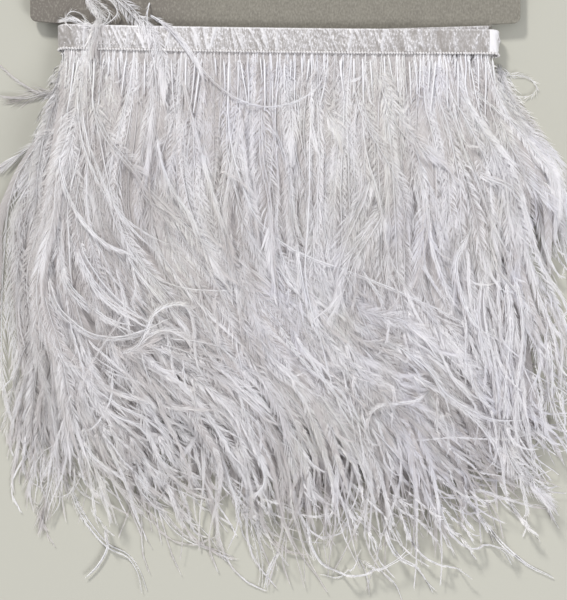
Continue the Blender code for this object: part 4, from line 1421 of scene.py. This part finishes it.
def satinMaterial():
    look = tapeLook
    material, tree, shader = newMaterial("whiteSatin", look["satin"], look["roughness"], 0.6)
    shader.inputs["Sheen Weight"].default_value = 0.25
    place = addNode(tree, "ShaderNodeUVMap", uv_map="ribbon").outputs["UV"]
    fold = attributeOf(tree, "fold")
    # painted glints: the crumpled satin glints in short streaks that stand across the ribbon
    sparkle = noiseAt(tree, place, 1600.0, (1.0, 0.42, 1.0), 3.0, 0.7, -0.3)
    patches = noiseAt(tree, place, 400.0, (1.0, 0.3, 1.0), 2.5, turn=-0.35)
    # painted shade in patches, in the turns and folds and between the glints; painted highlights where the
    # fold attribute is below nought
    satin = mixColours(tree, remap(tree, patches, 0.46, 0.66, 0.0, 0.55), look["satin"], look["satinPaintedShade"])
    folded = mixColours(tree, fold, satin, look["satinPaintedShade"])
    withSpotShade = mixColours(tree, remap(tree, sparkle, 0.5, 0.38, 0.0, 0.75), folded, look["satinPaintedShade"])
    onOpenFace = remap(tree, fold, 0.2, 0.8, 1.0, 0.25)
    paintedGlints = calculate(tree, "MULTIPLY", remap(tree, sparkle, 0.52, 0.62, 0.0, 0.85), onOpenFace)
    speckled = mixColours(tree, paintedGlints, withSpotShade, look["satinPaintedHighlight"])
    final = mixColours(tree, remap(tree, fold, 0.0, -0.8, 0.0, 0.9), speckled, look["satinPaintedHighlight"])
    feed(tree, shader.inputs["Base Color"], final)
    addBump(tree, shader, sparkle, 0.5, 0.12 * mm)
    return material


def makeTape():
    look = tapeLook
    dice = np.random.default_rng(seeds["tape"])
    route, section = tapeRoute(), ribbonSection()
    along, around, rows = flatLengths(route), len(section), look["rowsUp"]
    last = len(route) - 1
    deselectAll()
    bpy.ops.mesh.primitive_grid_add(x_subdivisions=last, y_subdivisions=around, size=2.0, location=(0, 0, 0))
    tape = bpy.context.active_object
    tape.name = "folded_satin_tape"
    mesh = tape.data
    # i counts along the route and j round the section, whose last row meets its first
    i, j = (np.rint((readPoints(mesh)[:, :2] + 1) / 2 * (last, around)).astype(int)).T
    k = j % around
    up, out = section[k].T
    height, slope = puckers(dice, along, section[:rows, 0], route[:, 0])
    inside = np.minimum(k, rows - 1)
    lift = height[i, inside] * (0.25 + 0.75 * route[i, 5]) * (k < rows)
    lift = lift * (0.35 + 0.65 * ease(-3.4 * mm, -1.6 * mm, up))
    out = out + np.clip(lift, -0.5 * mm, 0.85 * mm)
    x = route[i, 0] + route[i, 2] * out
    z = route[i, 1] + route[i, 3] * out
    writePoints(mesh, np.column_stack([x, route[i, 4] + up, np.maximum(z, 0.05 * mm)]))
    # painted shade in the folds, at the left turn, towards the right and on slopes; painted highlights on
    # the ridges, at the right turn and along the top edge
    leftTurn = ease(*look["leftTurn"], x)
    turned = leftTurn * 0.85 + ease(*look["broadFolds"], x) * 0.5
    turned += ease(*look["paintedShadeRightward"], x) * 0.22
    turned = np.where(x > look["rightTurn"], -0.7, turned)
    shade = np.clip(slope[i, inside] * -1.0, -0.15, 0.7)
    bright = np.clip(lift / (0.5 * mm), 0, 1) * 0.6 * (1 - 0.75 * leftTurn)
    topEdge = 0.9 * ease(3.8 * mm, 4.4 * mm, up)
    fold = (k < rows) * route[i, 5] * np.clip(turned + shade - bright - topEdge, -1, 1)
    mesh.attributes.new("fold", "FLOAT", "POINT").data.foreach_set("value", fold.astype(np.float32))
    uv = mesh.uv_layers[0]
    uv.name = "ribbon"
    corner = np.empty(len(mesh.loops), dtype=np.int32)
    mesh.loops.foreach_get("vertex_index", corner)
    girth = flatLengths(np.vstack([section, section[:1]]))
    uv.data.foreach_set("uv", np.column_stack([along[i], girth[j]])[corner].astype(np.float32).ravel())
    makeActive(tape)
    bpy.ops.object.mode_set(mode="EDIT")
    bpy.ops.mesh.select_all(action="SELECT")
    bpy.ops.mesh.remove_doubles(threshold=0.002 * mm)
    bpy.ops.mesh.fill_holes(sides=0)
    turnFacesOut()
    bpy.ops.object.shade_smooth_by_angle(angle=math.radians(50))
    mesh.materials.append(satinMaterial())
    finishPiece(tape, "white_satin", "satin_tape")
    print("tape: folded ribbon of", round(along[-1] * 1000), "mm,", len(mesh.polygons), "faces")


frayLook = {
    "threads": 14,
    "radius": 0.07 * mm,
    "length": (1.2 * mm, 2.8 * mm),
    "across": (1.6 * mm, 5.4 * mm),  # up the tape from its middle
}


def makeFrayedEnd(material):
    # loose threads at the cut end of the inner run, by the right turn
    dice = np.random.default_rng(seeds["frayedEnd"])
    s = np.linspace(0, 1, 9)
    threads = []
    for _ in range(frayLook["threads"]):
        length = dice.uniform(*frayLook["length"])
        heading = math.radians(dice.normal(5.0, 25.0)) - math.radians(dice.uniform(20, 110)) * s
        step = length / len(s)
        x = tapeLook["innerEndX"] - 0.3 * mm + np.cumsum(np.cos(heading)) * step
        y = dice.uniform(*frayLook["across"]) + np.cumsum(np.sin(heading)) * step
        z = tapeLook["heights"]["inner"] + dice.uniform(-0.3, 0.5) * mm + 0.9 * mm * s
        threads.append(threeSidedTube(np.column_stack([x, y, z]), frayLook["radius"] * (1.3 - s)))
    finishPiece(meshFromArrays("frayed_tape_end", *joinParts(threads), {}, material), "white_satin")
    print("frayed end:", frayLook["threads"], "threads")


# the sewn edge

stitchLook = {
    "pitch": 1.16 * mm,
    "size": (1.35 * mm, 1.15 * mm, 1.1 * mm),
    "slant": 24.0,  # degrees
    "below": 5.05 * mm,
    "out": 0.4 * mm,
    "secondRow": {"across": (-86.0 * mm, -50.0 * mm), "up": -3.0 * mm, "out": 0.52 * mm, "scale": 0.5},
    "colour": (0.84, 0.82, 0.82),
    "light": (0.82, 0.80, 0.795),
    "dark": (0.58, 0.555, 0.55),
    "uneven": (0.9, 1.1),  # their sizes
    "tilt": (0.0, 0.12),
}


def threadMaterial():
    look = stitchLook
    material, tree, shader = newMaterial("sewingThread", look["colour"], 0.55, 0.5)
    twist = objectNoise(tree, 2600.0, (1.0, 0.35, 1.0), 1.0)
    colour = mixColours(tree, remap(tree, twist, 0.35, 0.65), look["light"], look["dark"])
    feed(tree, shader.inputs["Base Color"], colour)
    addBump(tree, shader, twist, 0.6, 0.1 * mm)
    return material


def makeStitchBead():
    deselectAll()
    bpy.ops.mesh.primitive_uv_sphere_add(segments=6, ring_count=4, radius=0.5, location=(0, 0, 0))
    bead = bpy.context.active_object
    bpy.ops.object.mode_set(mode="EDIT")
    bpy.ops.mesh.select_all(action="SELECT")
    bpy.ops.transform.resize(value=stitchLook["size"])
    slant = math.radians(stitchLook["slant"])
    bpy.ops.transform.rotate(value=slant, orient_axis="Z", center_override=(0, 0, 0))
    bpy.ops.object.mode_set(mode="OBJECT")
    return bead


def stitchPlaces():
    # along the whole of the tape's sewn edge, and a short row of small ones above its left end
    look, second = stitchLook, stitchLook["secondRow"]
    route = tapeRoute()
    along = flatLengths(route)
    edge = np.arange(0.4 * mm, along[-1] - 0.3 * mm, look["pitch"])
    for row in readAlong(route[:, :5], along, edge):
        yield row, -look["below"], look["out"], 1.0
    for row in readAlong(route[:, :5], along, np.arange(0.0, along[-1], look["pitch"])):
        inFront = abs(row[1] - tapeLook["heights"]["front"]) < 0.2 * mm
        if inFront and second["across"][0] < row[0] < second["across"][1]:
            yield row, second["up"], second["out"], second["scale"]


def makeStitches(material):
    # one stitch, copied to every place
    dice = np.random.default_rng(seeds["stitches"])
    bead = makeStitchBead()
    shape = readPoints(bead.data)
    sides = [list(p.vertices) for p in bead.data.polygons]
    bpy.data.objects.remove(bead)
    verts, faces = [], []
    for count, ((x, z, nx, nz, sway), up, out, scale) in enumerate(stitchPlaces()):
        own = shape * scale * dice.uniform(*stitchLook["uneven"])
        tilt = dice.normal(*stitchLook["tilt"])
        lengthwise = own[:, 0] * math.cos(tilt) - own[:, 1] * math.sin(tilt)
        rising = own[:, 0] * math.sin(tilt) + own[:, 1] * math.cos(tilt)
        outward = own[:, 2] + out
        height = np.maximum(z - lengthwise * nx + outward * nz, 0.03 * mm)
        verts.append(np.column_stack([x + lengthwise * nz + outward * nx, sway + up + rising, height]))
        faces += [[v + count * len(shape) for v in side] for side in sides]
    mesh = bpy.data.meshes.new("chain_stitches")
    mesh.from_pydata(np.concatenate(verts).tolist(), [], faces)
    mesh.materials.append(material)
    stitches = linkNew("chain_stitches", mesh)
    makeActive(stitches)
    bpy.ops.object.mode_set(mode="EDIT")
    turnFacesOut()
    bpy.ops.object.shade_smooth()
    finishPiece(stitches, "white_thread", "chain_stitch")
    print("sewn edge:", len(verts), "stitches")


# the card

cardLook = {
    "bevel": 0.28 * mm,
    "brownUntil": -0.055,
    "greyFrom": -0.025,
    "greyRight": (0.25, 0.235, 0.197),
    "brownLeft": (0.184, 0.165, 0.147),
    "fibreLight": (0.315, 0.298, 0.258),
    "fibreDark": (0.18, 0.167, 0.143),
}


def boardMaterial():
    look = cardLook
    material, tree, shader = newMaterial("greyBoard", look["greyRight"], 0.92, 0.15)
    across = remap(tree, placeAlong(tree, (1, 0, 0)), look["brownUntil"], look["greyFrom"])
    base = mixColours(tree, across, look["brownLeft"], look["greyRight"])
    mottle = remap(tree, objectNoise(tree, 260.0, detail=5.0), 0.35, 0.65, 0.0, 0.3)
    dirty = mixColours(tree, mottle, base, look["fibreDark"])
    fibres = objectNoise(tree, 1500.0, (1.0, 0.55, 1.0), 3.0)
    speckled = mixColours(tree, remap(tree, fibres, 0.5, 0.72, 0.0, 0.75), dirty, look["fibreLight"])
    darker = mixColours(tree, remap(tree, fibres, 0.5, 0.3, 0.0, 0.7), speckled, look["fibreDark"])
    feed(tree, shader.inputs["Base Color"], darker)
    addBump(tree, shader, fibres, 0.35, 0.1 * mm)
    return material


def makeCard():
    card = frame["nodes"]["card"].copy()
    card.data = card.data.copy()
    card.name = "grey_board_card"
    card.parent = None
    bpy.context.scene.collection.objects.link(card)
    card.data.materials.clear()
    makeActive(card)
    bpy.ops.object.mode_set(mode="EDIT")
    bpy.ops.mesh.select_all(action="SELECT")
    bpy.ops.mesh.remove_doubles(threshold=0.01 * mm)
    bpy.ops.mesh.dissolve_limited(angle_limit=math.radians(1))
    bpy.ops.object.mode_set(mode="OBJECT")
    limit = {"limit_method": "ANGLE", "angle_limit": math.radians(40)}
    applyModifier(card, "BEVEL", width=cardLook["bevel"], segments=3, **limit)
    bpy.ops.object.shade_smooth_by_angle(angle=math.radians(35))
    card.data.materials.append(boardMaterial())
    finishPiece(card, "grey_board", "card")
    print("card: edges rounded,", len(card.data.polygons), "faces")


# floor, camera and light

stageLook = {
    "floor": (0.49, 0.482, 0.422),
    "cameraAway": 0.62,
    "tapeTop": 7.2 * mm,
    "sky": (0.95, 0.96, 1.0, 1.0),
    "skyStrength": 0.56,
    "lampsAim": (0, -0.1, 0),
    "lamps": {
        "key": {"from": (-1.3, 2.35, 1.75), "size": 0.42, "watts": 80.0, "colour": (1.0, 0.99, 0.97)},
        "fill": {"from": (1.2, -1.4, 1.2), "size": 0.8, "watts": 27.0, "colour": (0.97, 0.98, 1.0)},
    },
}


def makeStage():
    deselectAll()
    bpy.ops.mesh.primitive_plane_add(size=5.0, location=(0, 0, 0))
    floor = bpy.context.active_object
    floor.name = "floor"
    floor.data.materials.append(newMaterial("paleFloor", stageLook["floor"], 0.85, 0.2)[0])


def makeCamera():
    # straight above, so far away that the photograph fills the tape's plane
    data = bpy.data.cameras.new("camera")
    camera = linkNew("camera", data)
    away = stageLook["cameraAway"]
    x, y = fromPhoto(photo["width"] / 2, photo["height"] / 2)
    camera.location = (x, y, stageLook["tapeTop"] + away)
    data.sensor_width = 36.0
    data.lens = data.sensor_width * away / (photo["height"] * photo["pixel"])
    data.clip_start, data.clip_end = 0.01, 20.0
    bpy.context.scene.camera = camera


def makeLights():
    world = bpy.data.worlds.new("softStudio")
    world.use_nodes = True
    sky = world.node_tree.nodes["Background"]
    sky.inputs["Color"].default_value = stageLook["sky"]
    sky.inputs["Strength"].default_value = stageLook["skyStrength"]
    bpy.context.scene.world = world
    for name, look in stageLook["lamps"].items():
        data = bpy.data.lights.new(name, "AREA")
        data.shape = "SQUARE"
        data.size = look["size"]
        data.energy = look["watts"]
        data.color = look["colour"]
        lamp = linkNew(name, data)
        lamp.location = look["from"]
        aim = Vector(stageLook["lampsAim"]) - Vector(look["from"])
        lamp.rotation_euler = aim.to_track_quat("-Z", "Y").to_euler()
    bpy.context.scene.view_settings.view_transform = "Standard"
    print("stage: floor, camera and", len(stageLook["lamps"]), "lamps in place")


makeCamera()
makeStage()
makeLights()
makeCard()
makeTape()
thread = threadMaterial()
makeStitches(thread)
makeFrayedEnd(thread)
flues = flueMaterial()
makePlumes(flues)
layFlues(flues)
